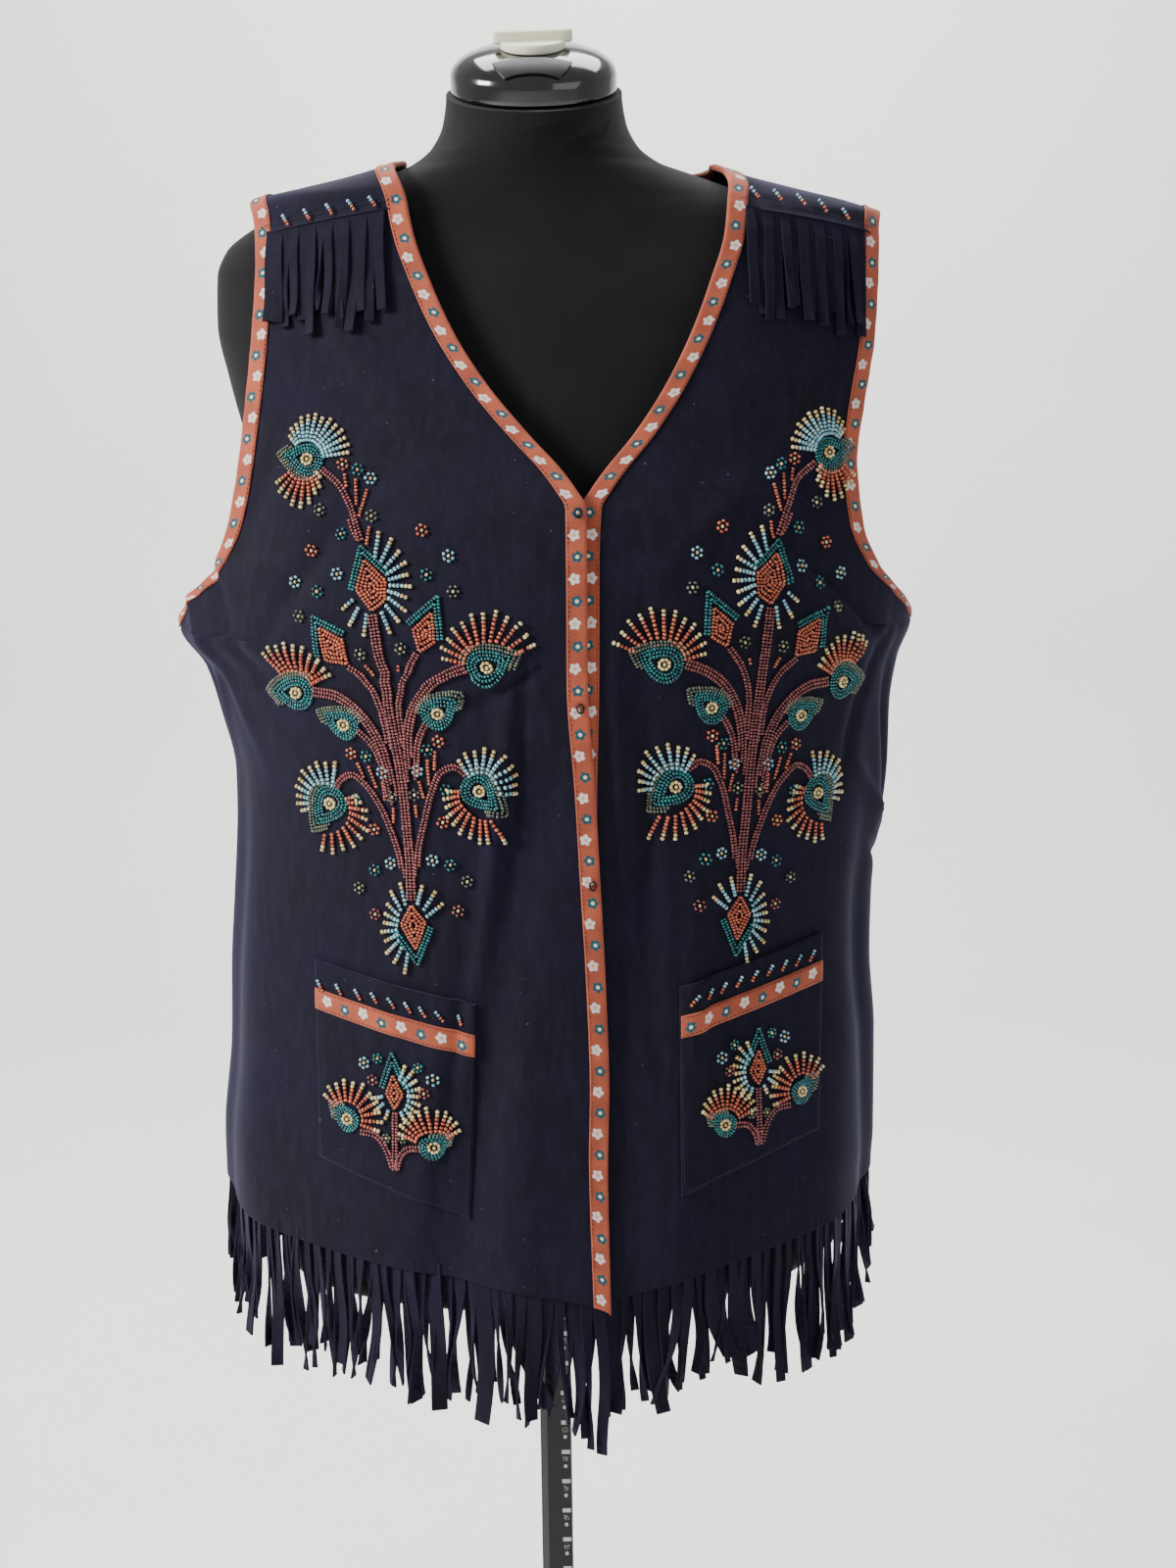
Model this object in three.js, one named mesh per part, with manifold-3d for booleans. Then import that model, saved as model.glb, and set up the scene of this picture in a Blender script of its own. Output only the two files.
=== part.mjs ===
// Beaded vest of heavy faux suede on a limbless dress form with its pole and base.
// Millimetres, +Z up, front towards -Y, the wearer's right at -X. The origin is the middle of the
// base on the floor.
import * as THREE from "three";
import { mergeVertices } from "three/addons/utils/BufferGeometryUtils.js";
import Module from "manifold-3d";

const wasm = await Module();
wasm.setup();

// Driving dimensions
const seamGap = 0.3;
const suede = 1.6;
const bindingWidth = 12.7;
const bindingThickness = 0.7;
const bindingSeat = bindingWidth - seamGap - bindingThickness; // the cloth that it covers
const frontSteps = 8;
const lapLift = 2.4; // how far each front stands off the shared middle where they lap
const lapReach = 60; // how far from the middle the lap's lift fades out
const underarm = 1088;
const pocketThickness = 1.5;
const bandThickness = 0.8;
const strandWidth = 7.2;
const strandThickness = 1.5;
const strandPitch = 9.4;
const rootStrip = 7;
const stripDrop = 0.9; // from the cloth's hem down to the strip
const hemCurve = 0.6; // power of the share along a front at which its hem rises to the side
const strandTwist = 0.35; // radians, for each ring down a strand
const strandNarrow = 0.92; // how wide a strand is below its root, as a share
const swingAlong = 2.2;
const swingOut = 3;
const lengthScatter = 0.09; // how far a strand is shorter or longer than its fringe, as a share
const poleSide = 22;
const formBottom = 646;
const neckTop = 1429;
const capRadius = 54;
const capHeight = 31;
const capRim = 11; // the cap's straight lower part, up to where the dome starts
const capLean = 20; // degrees that the neck's top and its cap lean forward
const leanStart = 1390; // where the form's rings start to lean
const dialRadius = 21;
const dialForward = 10; // how far in front of the cap's middle the dial sits
const gripHalf = 24; // half the length of the dial's grip, without its rounded ends
const gripWide = 4.5;
const gripTurn = 7;
const legReach = 260;
const legHeight = 20;
const hubRadius = 42;
const hubHeight = 46;

const colours = {
  suede: 0x23213a,
  binding: 0xbe5f41,
  jersey: 0x2d2d2f,
  gloss: 0x0b0b0c,
  dial: 0xe1e1c8,
  pole: 0x1c1c1e,
};

// The form: half width, front and back depth at each height.
const formSections = [
  { z: formBottom, side: 186, front: 121, back: 117 },
  { z: 700, side: 191, front: 124, back: 121 },
  { z: 780, side: 190, front: 120, back: 120 },
  { z: 860, side: 178, front: 112, back: 110 },
  { z: 940, side: 164, front: 105, back: 97 },
  { z: 1010, side: 168, front: 118, back: 94 },
  { z: 1060, side: 177, front: 133, back: 97 },
  { z: 1096, side: 181, front: 137, back: 100 },
  { z: 1150, side: 184, front: 124, back: 103 },
  { z: 1200, side: 192, front: 103, back: 104 },
  { z: 1250, side: 204, front: 84, back: 101 },
  { z: 1285, side: 210.5, front: 71, back: 93 },
  { z: 1315, side: 209.5, front: 61, back: 82 },
  { z: 1331, side: 203, front: 56, back: 74 },
  { z: 1344, side: 187, front: 53, back: 69 },
  { z: 1352.6, side: 169, front: 51.5, back: 65 },
  { z: 1361, side: 146, front: 50.5, back: 62 },
  { z: 1369.4, side: 121, front: 50.5, back: 60 },
  { z: 1376.4, side: 101, front: 51, back: 59 },
  { z: 1383.6, side: 81, front: 52, back: 58 },
  { z: 1394, side: 67.5, front: 54, back: 57.5 },
  { z: 1410, side: 59.5, front: 56.5, back: 57 },
  { z: neckTop, side: 57, front: 57, back: 57 },
];

// The vest: reach to the wearer's right (-X) and left (+X), front and back depth at each height.
const vestSections = [
  { z: 640, right: 226, left: 222, front: 156, back: 148 },
  { z: 708, right: 226, left: 222, front: 152, back: 146 },
  { z: 735, right: 226, left: 223.5, front: 149, back: 144 },
  { z: 805, right: 219, left: 223.5, front: 144, back: 138 },
  { z: 862, right: 216.5, left: 220, front: 141, back: 132 },
  { z: 904, right: 213, left: 221, front: 140, back: 127 },
  { z: 944, right: 210, left: 226, front: 140, back: 122 },
  { z: 991, right: 208.5, left: 231, front: 144, back: 117 },
  { z: 1030, right: 216, left: 232, front: 149, back: 114 },
  { z: 1062, right: 225, left: 237, front: 151.5, back: 112 },
  { z: underarm, right: 241.5, left: 246, front: 152, back: 112 },
  { z: 1150, right: 240, left: 245, front: 140, back: 113 },
  { z: 1200, right: 237, left: 244, front: 119, back: 114 },
  { z: 1250, right: 231, left: 243, front: 98, back: 112 },
  { z: 1285, right: 223, left: 241, front: 84, back: 104 },
  { z: 1315, right: 215, left: 238, front: 73, back: 93 },
  { z: 1336, right: 206, left: 233, front: 66, back: 83 },
  { z: 1349, right: 199, left: 225, front: 62, back: 76 },
  { z: 1357, right: 192, left: 204, front: 60, back: 73 },
  { z: 1363, right: 182, left: 180, front: 59.5, back: 71 },
  { z: 1369, right: 155, left: 156, front: 59.5, back: 70 },
  { z: 1374.5, right: 129, left: 135, front: 60, back: 69 },
  { z: 1381, right: 103, left: 114, front: 61, back: 68 },
  { z: 1386, right: 84, left: 94, front: 62, back: 68 },
];

// Front edge and neckline, measured along X at each height, for the two fronts.
const frontEdges = [
  { z: 640, right: 39, left: 26 },
  { z: 746, right: 38, left: 25 },
  { z: 810, right: 39.5, left: 23 },
  { z: 874, right: 38, left: 20 },
  { z: 936, right: 35.5, left: 21 },
  { z: 997, right: 33, left: 22 },
  { z: 1058, right: 29.5, left: 24 },
  { z: 1130, right: 30, left: 25 },
  { z: 1166, right: 30, left: 27 },
  { z: 1176, right: 24.5, left: 33 },
  { z: 1188, right: 16, left: 42 },
  { z: 1210, right: -4, left: 60.5 },
  { z: 1240, right: -29, left: 80.5 },
  { z: 1272, right: -49.5, left: 97 },
  { z: 1302, right: -63.5, left: 109 },
  { z: 1337, right: -76, left: 120 },
  { z: 1361, right: -80.5, left: 122 },
  { z: 1375, right: -82, left: 118 },
  { z: 1381, right: -83, left: 113 },
];

// Armhole edges, as distances from the middle plane.
const armholes = [
  { z: underarm, frontRight: 241, frontLeft: 245, backRight: 241, backLeft: 245 },
  { z: 1095, frontRight: 239, frontLeft: 243, backRight: 239.5, backLeft: 243.5 },
  { z: 1107, frontRight: 229, frontLeft: 234, backRight: 233, backLeft: 238 },
  { z: 1125, frontRight: 212, frontLeft: 217, backRight: 220, backLeft: 225 },
  { z: 1153, frontRight: 197, frontLeft: 205, backRight: 211, backLeft: 217 },
  { z: 1190, frontRight: 189.5, frontLeft: 202, backRight: 202, backLeft: 212 },
  { z: 1227, frontRight: 185, frontLeft: 208, backRight: 195, backLeft: 212 },
  { z: 1270, frontRight: 181, frontLeft: 216.5, backRight: 189, backLeft: 218 },
  { z: 1320, frontRight: 178.5, frontLeft: 220.5, backRight: 185, backLeft: 222 },
  { z: 1349, frontRight: 180, frontLeft: 221.5, backRight: 183, backLeft: 222.5 },
  { z: 1363, frontRight: 182, frontLeft: 222, backRight: 182, backLeft: 222 },
];

// The rows of a front, as the height at its inner and its outer edge. The last is the shoulder seam.
const frontRows = [
  { inner: 660, outer: 709 },
  { inner: 700, outer: 738 },
  { inner: 745, outer: 775 },
  { inner: 790, outer: 812 },
  { inner: 835, outer: 850 },
  { inner: 880, outer: 892 },
  { inner: 925, outer: 932 },
  { inner: 970, outer: 972 },
  { inner: 1012, outer: 1012 },
  { inner: 1050, outer: 1050 },
  { inner: 1088, outer: underarm },
  { inner: 1100, outer: 1096 },
  { inner: 1118, outer: 1108 },
  { inner: 1146, outer: 1128 },
  { inner: 1172, outer: 1154 },
  { inner: 1200, outer: 1188 },
  { inner: 1228, outer: 1222 },
  { inner: 1256, outer: 1250 },
  { inner: 1284, outer: 1276 },
  { inner: 1310, outer: 1300 },
  { inner: 1332, outer: 1320, outerLeft: 1318 },
  { inner: 1352, outer: 1336, innerLeft: 1350, outerLeft: 1333 },
];
const yokeRows = [
  { inner: 1352.4, outer: 1336.4, innerLeft: 1350.4, outerLeft: 1333.4 },
  { inner: 1366, outer: 1346, innerLeft: 1362, outerLeft: 1339.5 },
  { inner: 1376, outer: 1353, innerLeft: 1371.5, outerLeft: 1344 },
  { inner: 1381, outer: 1358, innerLeft: 1376.5, outerLeft: 1347 },
];
const shoulder = {
  right: { neck: 1385.5, tip: 1363 },
  left: { neck: 1381, tip: 1350 },
};

// The rows of the back, by height at its side edges, up to where it starts to follow the shoulders.
const backRows = [709, 738, 775, 812, 850, 892, 932, 972, 1012, 1050, underarm, 1097, 1114, 1142, 1176, 1214, 1252, 1290];
const backHemDrop = 36;
const shoulderSteps = 4;
const neckSteps = 10;
const backNeckDip = 5;
const backRise = [0.35, 0.64, 0.85, 0.95, 1]; // rows from the highest plain row to the neck binding

// Drape folds: angle round the body from the middle front (wearer's left positive), top to bottom,
// with width in degrees and depth in millimetres. A trough is negative.
const folds = [
  { top: 1100, bottom: 662, angleTop: 4, angleBottom: -17, width: 5, depth: -5 },
  { top: 1000, bottom: 662, angleTop: -4, angleBottom: -5, width: 5, depth: 3.5 },
  { top: 1010, bottom: 690, angleTop: 22, angleBottom: 20, width: 6, depth: 3 },
  { top: 1075, bottom: 860, angleTop: -72, angleBottom: -76, width: 7, depth: -4 },
  { top: 1075, bottom: 780, angleTop: 66, angleBottom: 74, width: 6, depth: -5 },
  { top: 960, bottom: 700, angleTop: -62, angleBottom: -58, width: 8, depth: 4 },
  { top: 960, bottom: 700, angleTop: 58, angleBottom: 55, width: 8, depth: 4 },
  { top: 1120, bottom: 690, angleTop: 150, angleBottom: 146, width: 9, depth: 5 },
  { top: 1120, bottom: 690, angleTop: -148, angleBottom: -152, width: 9, depth: 5 },
  { top: 1000, bottom: 690, angleTop: 178, angleBottom: 174, width: 7, depth: -4 },
  { top: 1060, bottom: 700, angleTop: 118, angleBottom: 112, width: 8, depth: -4 },
  { top: 1060, bottom: 700, angleTop: -114, angleBottom: -118, width: 8, depth: -4 },
];

const pockets = {
  right: { topInner: [-43, 858.5], topOuter: [-146, 881], bottomInner: [-50, 720], bottomOuter: [-146, 753] },
  left: { topInner: [83.5, 867], topOuter: [177, 890], bottomInner: [83, 733], bottomOuter: [173, 761] },
};
const bandTop = 0.14; // how far down the pocket the floral band starts and ends, as a share
const bandBottom = 0.245;
const hooks = [1162, 1046, 934];
const hookOuter = { wide: 2.6, high: 3.4 };
const hookInner = { wide: 1.3, high: 2 };
const hookWire = 1.2;

// Smooth interpolation of one named column of a table by height.
function column(rows, name, z) {
  const last = rows.length - 1;
  if (z <= rows[0].z) return rows[0][name];
  if (z >= rows[last].z) return rows[last][name];
  let i = 0;
  while (rows[i + 1].z < z) i += 1;
  const slope = (k) => {
    if (k === 0 || k === last) return 0;
    const before = (rows[k][name] - rows[k - 1][name]) / (rows[k].z - rows[k - 1].z);
    const after = (rows[k + 1][name] - rows[k][name]) / (rows[k + 1].z - rows[k].z);
    return before * after <= 0 ? 0 : (2 * before * after) / (before + after);
  };
  const span = rows[i + 1].z - rows[i].z;
  const t = (z - rows[i].z) / span;
  const hermite = (2 * t - 3) * t * t;
  return (
    rows[i][name] * (1 + hermite) -
    rows[i + 1][name] * hermite +
    slope(i) * span * t * (1 - t) ** 2 +
    slope(i + 1) * span * t * t * (t - 1)
  );
}

const lerp = THREE.MathUtils.lerp;
const radians = THREE.MathUtils.degToRad;
const degrees = THREE.MathUtils.radToDeg;
const frontSeam = radians(89.6); // where a front ends and the back begins, round the body
const sideSeam = radians(90.2);
const frontFringeEnd = radians(89.4);
const backFringeStart = radians(90.8);

// How far the drape stands off the plain sections at an angle and a height.
function foldDepth(angle, z) {
  return folds.reduce((sum, fold) => {
    const along = (fold.top - z) / (fold.top - fold.bottom);
    if (along <= 0) return sum;
    const middle = lerp(fold.angleTop, fold.angleBottom, Math.min(along, 1.2));
    const away = (((degrees(angle) - middle + 540) % 360) - 180) / fold.width;
    return sum + fold.depth * Math.min(1, along * 1.6) * Math.exp(-away * away);
  }, 0);
}

// A point of the vest's middle surface: 0 is the middle front, +90 degrees the wearer's left side.
function bodyPoint(angle, z, lift = 0) {
  const across = Math.sin(angle);
  const ahead = Math.cos(angle);
  const reach = across > 0 ? column(vestSections, "left", z) : column(vestSections, "right", z);
  const depth = ahead > 0 ? column(vestSections, "front", z) : column(vestSections, "back", z);
  const off = foldDepth(angle, z) + lift;
  return new THREE.Vector3(
    (reach + off) * across,
    -(depth + off) * ahead,
    z,
  );
}

// The angle of the vest's section that lies at a distance x from the middle plane.
function angleAt(x, z) {
  const reach = x > 0 ? column(vestSections, "left", z) : column(vestSections, "right", z);
  return Math.asin(THREE.MathUtils.clamp(x / reach, -1, 1));
}

// Each front stands a little off the other where they lap down the middle.
function lapOffset(side, x) {
  const near = Math.max(0, 1 - Math.abs(x - 27) / lapReach);
  return (side === "right" ? lapLift : -lapLift) * near * near * (3 - 2 * near);
}

// The point and normal of a grid's facet that lies straight in front of a place (x, z).
function onGrid(grid, x, z) {
  for (let r = 0; r < grid.length - 1; r += 1)
    for (let c = 0; c < grid[0].length - 1; c += 1) {
      const [a, b, d, e] = [grid[r][c], grid[r][c + 1], grid[r + 1][c + 1], grid[r + 1][c]];
      const flip = c >= (grid[0].length - 1) / 2;
      for (const corners of flip ? [[b, d, e], [b, e, a]] : [[a, b, d], [a, d, e]]) {
        const flat = corners.map(({ point }) => new THREE.Vector3(point.x, point.z, 0));
        const shares = THREE.Triangle.getBarycoord(new THREE.Vector3(x, z, 0), ...flat, new THREE.Vector3());
        if (!shares || Math.min(shares.x, shares.y, shares.z) < -1e-6) continue;
        const blend = (name) =>
          new THREE.Vector3()
            .addScaledVector(corners[0][name], shares.x)
            .addScaledVector(corners[1][name], shares.y)
            .addScaledVector(corners[2][name], shares.z);
        return { point: blend("point"), normal: blend("normal") };
      }
    }
  throw new Error(`no cloth at ${x}, ${z}`);
}

function frontPoint(side, x, z) {
  return bodyPoint(angleAt(x, z), z, lapOffset(side, x));
}

// Outward normals of a grid of points, from its neighbours.
function withNormals(points, outward) {
  return points.map((row, r) =>
    row.map((point, c) => {
      const up = points[Math.min(r + 1, points.length - 1)][c].clone().sub(points[Math.max(r - 1, 0)][c]);
      const along = row[Math.min(c + 1, row.length - 1)].clone().sub(row[Math.max(c - 1, 0)]);
      const normal = along.cross(up).normalize();
      if (normal.dot(outward(point)) < 0) normal.negate();
      return { point, normal };
    }),
  );
}

const awayFromAxis = (point) => new THREE.Vector3(point.x, point.y, Math.max(0, point.z - 1330) * 2);

// Closed indexed geometry with its faces turned outwards.
function solid(vertices, faces) {
  const volume = faces.reduce(
    (sum, [a, b, c]) => sum + vertices[a].dot(vertices[b].clone().cross(vertices[c])),
    0,
  );
  const geometry = new THREE.BufferGeometry().setFromPoints(vertices);
  geometry.setIndex(faces.flatMap(([a, b, c]) => (volume < 0 ? [a, c, b] : [a, b, c])));
  geometry.computeVertexNormals();
  return geometry;
}

// A cloth wall over a grid of surface points, between two distances along their normals. Its
// quads are split alike on both halves, as seen from the nearer side edge.
function wall(grid, inside, outside, turned = false) {
  const rows = grid.length;
  const columns = grid[0].length;
  const vertices = [];
  for (const distance of [outside, inside])
    for (const row of grid)
      for (const { point, normal } of row) vertices.push(point.clone().addScaledVector(normal, distance));
  const at = (layer, r, c) => (layer * rows + r) * columns + c;
  const faces = [];
  for (let r = 0; r < rows - 1; r += 1)
    for (let c = 0; c < columns - 1; c += 1) {
      const corners = [[r, c], [r, c + 1], [r + 1, c + 1], [r + 1, c]];
      const split = c >= (columns - 1) / 2 !== turned ? 1 : 0;
      const [a, b, d, e] = corners.map((_, i) => corners[(i + split) % 4]);
      faces.push([at(0, ...a), at(0, ...b), at(0, ...d)], [at(0, ...a), at(0, ...d), at(0, ...e)]);
      faces.push([at(1, ...a), at(1, ...d), at(1, ...b)], [at(1, ...a), at(1, ...e), at(1, ...d)]);
    }
  const rim = [];
  for (let c = 0; c < columns - 1; c += 1) rim.push([0, c]);
  for (let r = 0; r < rows - 1; r += 1) rim.push([r, columns - 1]);
  for (let c = columns - 1; c > 0; c -= 1) rim.push([rows - 1, c]);
  for (let r = rows - 1; r > 0; r -= 1) rim.push([r, 0]);
  rim.forEach(([r, c], i) => {
    const [s, d] = rim[(i + 1) % rim.length];
    faces.push([at(0, r, c), at(1, r, c), at(1, s, d)]);
    faces.push([at(0, r, c), at(1, s, d), at(0, s, d)]);
  });
  return solid(vertices, faces);
}

// A solid through rings of equal length. Open runs are capped with the given faces of the ring,
// and flipped runs split their quads the other way.
function loft(rings, capFaces, { closed = false, flipped = () => false } = {}) {
  const size = rings[0].length;
  const faces = [];
  const runs = closed ? rings.length : rings.length - 1;
  for (let i = 0; i < runs; i += 1)
    for (let j = 0; j < size; j += 1) {
      const a = i * size + j;
      const b = i * size + ((j + 1) % size);
      const next = ((i + 1) % rings.length) * size;
      const c = next + ((j + 1) % size);
      const d = next + j;
      if (flipped(i, j)) faces.push([a, b, d], [b, c, d]);
      else faces.push([a, b, c], [a, c, d]);
    }
  if (!closed) {
    const top = (rings.length - 1) * size;
    for (const [a, b, c] of capFaces) {
      faces.push([a, c, b]);
      faces.push([top + a, top + b, top + c]);
    }
  }
  return solid(rings.flat(), faces);
}

const fan = (count) => Array.from({ length: count - 2 }, (_, i) => [0, i + 1, i + 2]);

// Where a binding's channel section meets its flat ends.
const channelCap = [
  [0, 1, 2], [0, 2, 7], [2, 3, 6], [2, 6, 7], [3, 4, 5], [3, 5, 6],
];

// The quads of a binding's inner leg are split like the cloth's inner face behind them.
const innerLeg = (i, j) => j > 3 && j < 6;

// The folded section of a binding at one station, from beyond the cloth's edge to the next
// column or row of the cloth. Round tight curves it takes a wider gap.
function channel(edge, inner, clear = seamGap) {
  const span = edge.point.distanceTo(inner.point);
  const place = (share, height) =>
    edge.point
      .clone()
      .lerp(inner.point, share)
      .add(edge.normal.clone().lerp(inner.normal, Math.max(0, share)).multiplyScalar(height));
  const near = suede / 2 + clear;
  const far = near + bindingThickness;
  const gap = -clear / span;
  const lip = -(clear + bindingThickness) / span;
  return [
    place(1, near), place(1, far), place(lip, far), place(lip, -far),
    place(1, -far), place(1, -near), place(gap, -near), place(gap, near),
  ];
}

// The share of a row at which its curve is a given distance from one of its ends.
function shareAt(place, end, distance) {
  const home = place(end);
  let near = 0;
  let far = 0.4;
  for (let i = 0; i < 24; i += 1) {
    const middle = (near + far) / 2;
    if (place(Math.abs(end - middle)).distanceTo(home) < distance) near = middle;
    else far = middle;
  }
  return Math.abs(end - near);
}

// The shares of a row's columns: the first and last are as wide as the seat of a binding.
function columnsOf(place, steps) {
  const first = shareAt(place, 0, bindingSeat);
  const last = shareAt(place, 1, bindingSeat);
  const inner = Array.from({ length: steps + 1 }, (_, i) => lerp(first, last, i / steps));
  return [0, ...inner, 1];
}

// The left front's rows differ from the right's where its shoulder lies lower.
const leftRow = (row) => ({ inner: row.innerLeft ?? row.inner, outer: row.outerLeft ?? row.outer });

// The grid of a front over some of its rows.
function frontGrid(side, rows, toSeam) {
  const sign = side === "right" ? -1 : 1;
  const ends = shoulder[side];
  const own = rows.map((row) => (side === "right" ? row : leftRow(row)));
  const all = toSeam ? [...own, { inner: ends.neck, outer: ends.tip, seam: true }] : own;
  const armhole = side === "right" ? "frontRight" : "frontLeft";
  const inset = seamGap + bindingThickness;
  const points = all.map((row) => {
    const innerX = column(frontEdges, side, row.inner) + sign * inset;
    const outerX = sign * (column(armholes, armhole, row.outer) - inset);
    const start = row.seam ? sign * frontSeam : angleAt(innerX, row.inner);
    const isArmhole = row.outer > underarm && !row.seam;
    const end = isArmhole ? angleAt(outerX, row.outer) : sign * frontSeam;
    const place = (share) => {
      const z = lerp(row.inner, row.outer, row.outer < 1000 ? share ** hemCurve : share);
      const angle = lerp(start, end, share);
      return bodyPoint(angle, z, lapOffset(side, column(vestSections, side, z) * Math.sin(angle)));
    };
    return columnsOf(place, frontSteps).map(place);
  });
  const grid = withNormals(points, awayFromAxis);
  if (toSeam) grid[grid.length - 1].forEach(squareToSeam);
  all.forEach((row, r) => {
    if (row.outer <= underarm) squareToSeam(grid[r][grid[r].length - 1]);
  });
  return grid;
}

// At a seam that lies in the plane y = 0, the cloth's edge is square to that plane.
function squareToSeam({ normal }) {
  normal.setY(0).normalize();
}

// The grid of the back: plain rows from side to side, then rows that rise to the shoulders and neck.
function backGrid() {
  const columns = 2 * shoulderSteps + neckSteps;
  const inset = seamGap + bindingThickness;
  const sideAngle = (side, z) => {
    if (z <= underarm) return sideSeam;
    const name = side === "right" ? "backRight" : "backLeft";
    const reach = column(vestSections, side, z);
    return Math.PI - Math.asin(Math.min(1, (column(armholes, name, z) - inset) / reach));
  };
  const rowAt = (z) => (share) => {
    const start = -sideAngle("right", z);
    const end = sideAngle("left", z) - 2 * Math.PI;
    const drop = (backHemDrop * Math.sin(Math.PI * share) * Math.max(0, 1000 - z)) / (1000 - backRows[0]);
    return { angle: lerp(start, end, share), z: z - drop };
  };
  const topAt = (share) => {
    const slot = share * columns;
    const fromSide = Math.min(slot, columns - slot);
    if (fromSide <= shoulderSteps) {
      const ends = shoulder[slot < columns / 2 ? "right" : "left"];
      const angle = slot < columns / 2 ? -sideSeam : sideSeam - 2 * Math.PI;
      return { angle, z: lerp(ends.tip, ends.neck, fromSide / shoulderSteps) };
    }
    const across = (slot - shoulderSteps) / neckSteps;
    const level = lerp(shoulder.right.neck, shoulder.left.neck, across);
    return {
      angle: -lerp(sideSeam, 2 * Math.PI - sideSeam, across),
      z: level - backNeckDip * Math.sin(Math.PI * across),
    };
  };
  const highest = backRows[backRows.length - 1];
  const edgeShare = columnsOf((share) => bodyPoint(rowAt(highest)(share).angle, highest), 2)[1];
  const even = Array.from({ length: columns + 1 }, (_, i) => i / columns);
  const plain = backRows.map((z) => {
    const place = (share) => {
      const { angle, z: level } = rowAt(z)(share);
      return bodyPoint(angle, level);
    };
    return columnsOf(place, columns - 2).map(place);
  });
  const climb = (share) => {
    const low = rowAt(highest)(share);
    const top = topAt(share);
    const [lowX, topX] = [low, top].map(({ angle, z }) => bodyPoint(angle, z).x);
    return (rise) => {
      const z = lerp(low.z, top.z, rise);
      return bodyPoint(rise === 1 ? top.angle : Math.PI - angleAt(lerp(lowX, topX, rise), z), z);
    };
  };
  const columnsUp = even.map((share, i) => {
    const place = climb(i === 0 || i === columns ? share : lerp(edgeShare, 1 - edgeShare, (i - 1) / (columns - 2)));
    const seat = shareAt(place, 1, bindingSeat);
    return [...backRise.map((rise) => place(rise * seat)), climb(share)(1)];
  });
  const risen = columnsUp[0].map((_, r) => columnsUp.map((points) => points[r]));
  const grid = withNormals([...plain, ...risen], awayFromAxis);
  const last = grid[grid.length - 1];
  last.slice(0, shoulderSteps + 1).forEach(squareToSeam);
  last.slice(-shoulderSteps - 1).forEach(squareToSeam);
  backRows.forEach((z, r) => {
    if (z <= underarm) [grid[r][0], grid[r][columns]].forEach(squareToSeam);
  });
  return grid;
}

const root = new THREE.Group();

function add(name, geometry, colour, finish = {}) {
  const material = new THREE.MeshStandardMaterial({ color: colour, roughness: 0.85, metalness: 0, ...finish });
  const mesh = new THREE.Mesh(geometry, material);
  mesh.name = name;
  root.add(mesh);
  return mesh;
}

// Manifold solid of a geometry, and back, for joining strands to their strip.
function toManifold(geometry) {
  const bare = geometry.clone();
  bare.deleteAttribute("normal");
  bare.deleteAttribute("uv");
  const merged = mergeVertices(bare, 1e-4);
  return new wasm.Manifold(
    new wasm.Mesh({
      numProp: 3,
      vertProperties: merged.attributes.position.array,
      triVerts: new Uint32Array(merged.index.array),
    }),
  );
}

function fromManifold(made) {
  const mesh = made.getMesh();
  const geometry = new THREE.BufferGeometry();
  geometry.setAttribute("position", new THREE.BufferAttribute(new Float32Array(mesh.vertProperties), 3));
  geometry.setIndex(Array.from(mesh.triVerts));
  geometry.computeVertexNormals();
  return geometry;
}

// An even, repeatable scatter between -1 and 1.
const scatter = (i, k) => 2 * ((Math.sin(i * 12.9898 + k * 78.233) * 43758.5453) % 1) * 0.5;

// One hanging strand: four-sided and a little twisted, along the places that its path gives.
function strand(path, outward, along, index) {
  const rings = [0, 0.45, 1].map((share, k) => {
    const twist = k * strandTwist * scatter(index, 1);
    const wide = along.clone().multiplyScalar(Math.cos(twist)).addScaledVector(outward, Math.sin(twist));
    const thick = outward.clone().multiplyScalar(Math.cos(twist)).addScaledVector(along, -Math.sin(twist));
    const half = (strandWidth / 2) * (k === 0 ? 1 : strandNarrow);
    return [[-1, -1], [1, -1], [1, 1], [-1, 1]].map(([a, b]) =>
      path(share)
        .addScaledVector(wide, a * half)
        .addScaledVector(thick, (b * strandThickness) / 2),
    );
  });
  return loft(rings, fan(4));
}

// The path of a strand that hangs free, leaning and swinging a little more towards its end.
function hanging(lean) {
  return (anchor, outward, along, index, length) => (share) => {
    const swing = share * share;
    return anchor
      .clone()
      .add(new THREE.Vector3(0, 0, -share * length))
      .addScaledVector(along, swing * swingAlong * scatter(index, 2))
      .addScaledVector(outward, swing * (swingOut * scatter(index, 3) - 1) + share * lean);
  };
}

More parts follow.
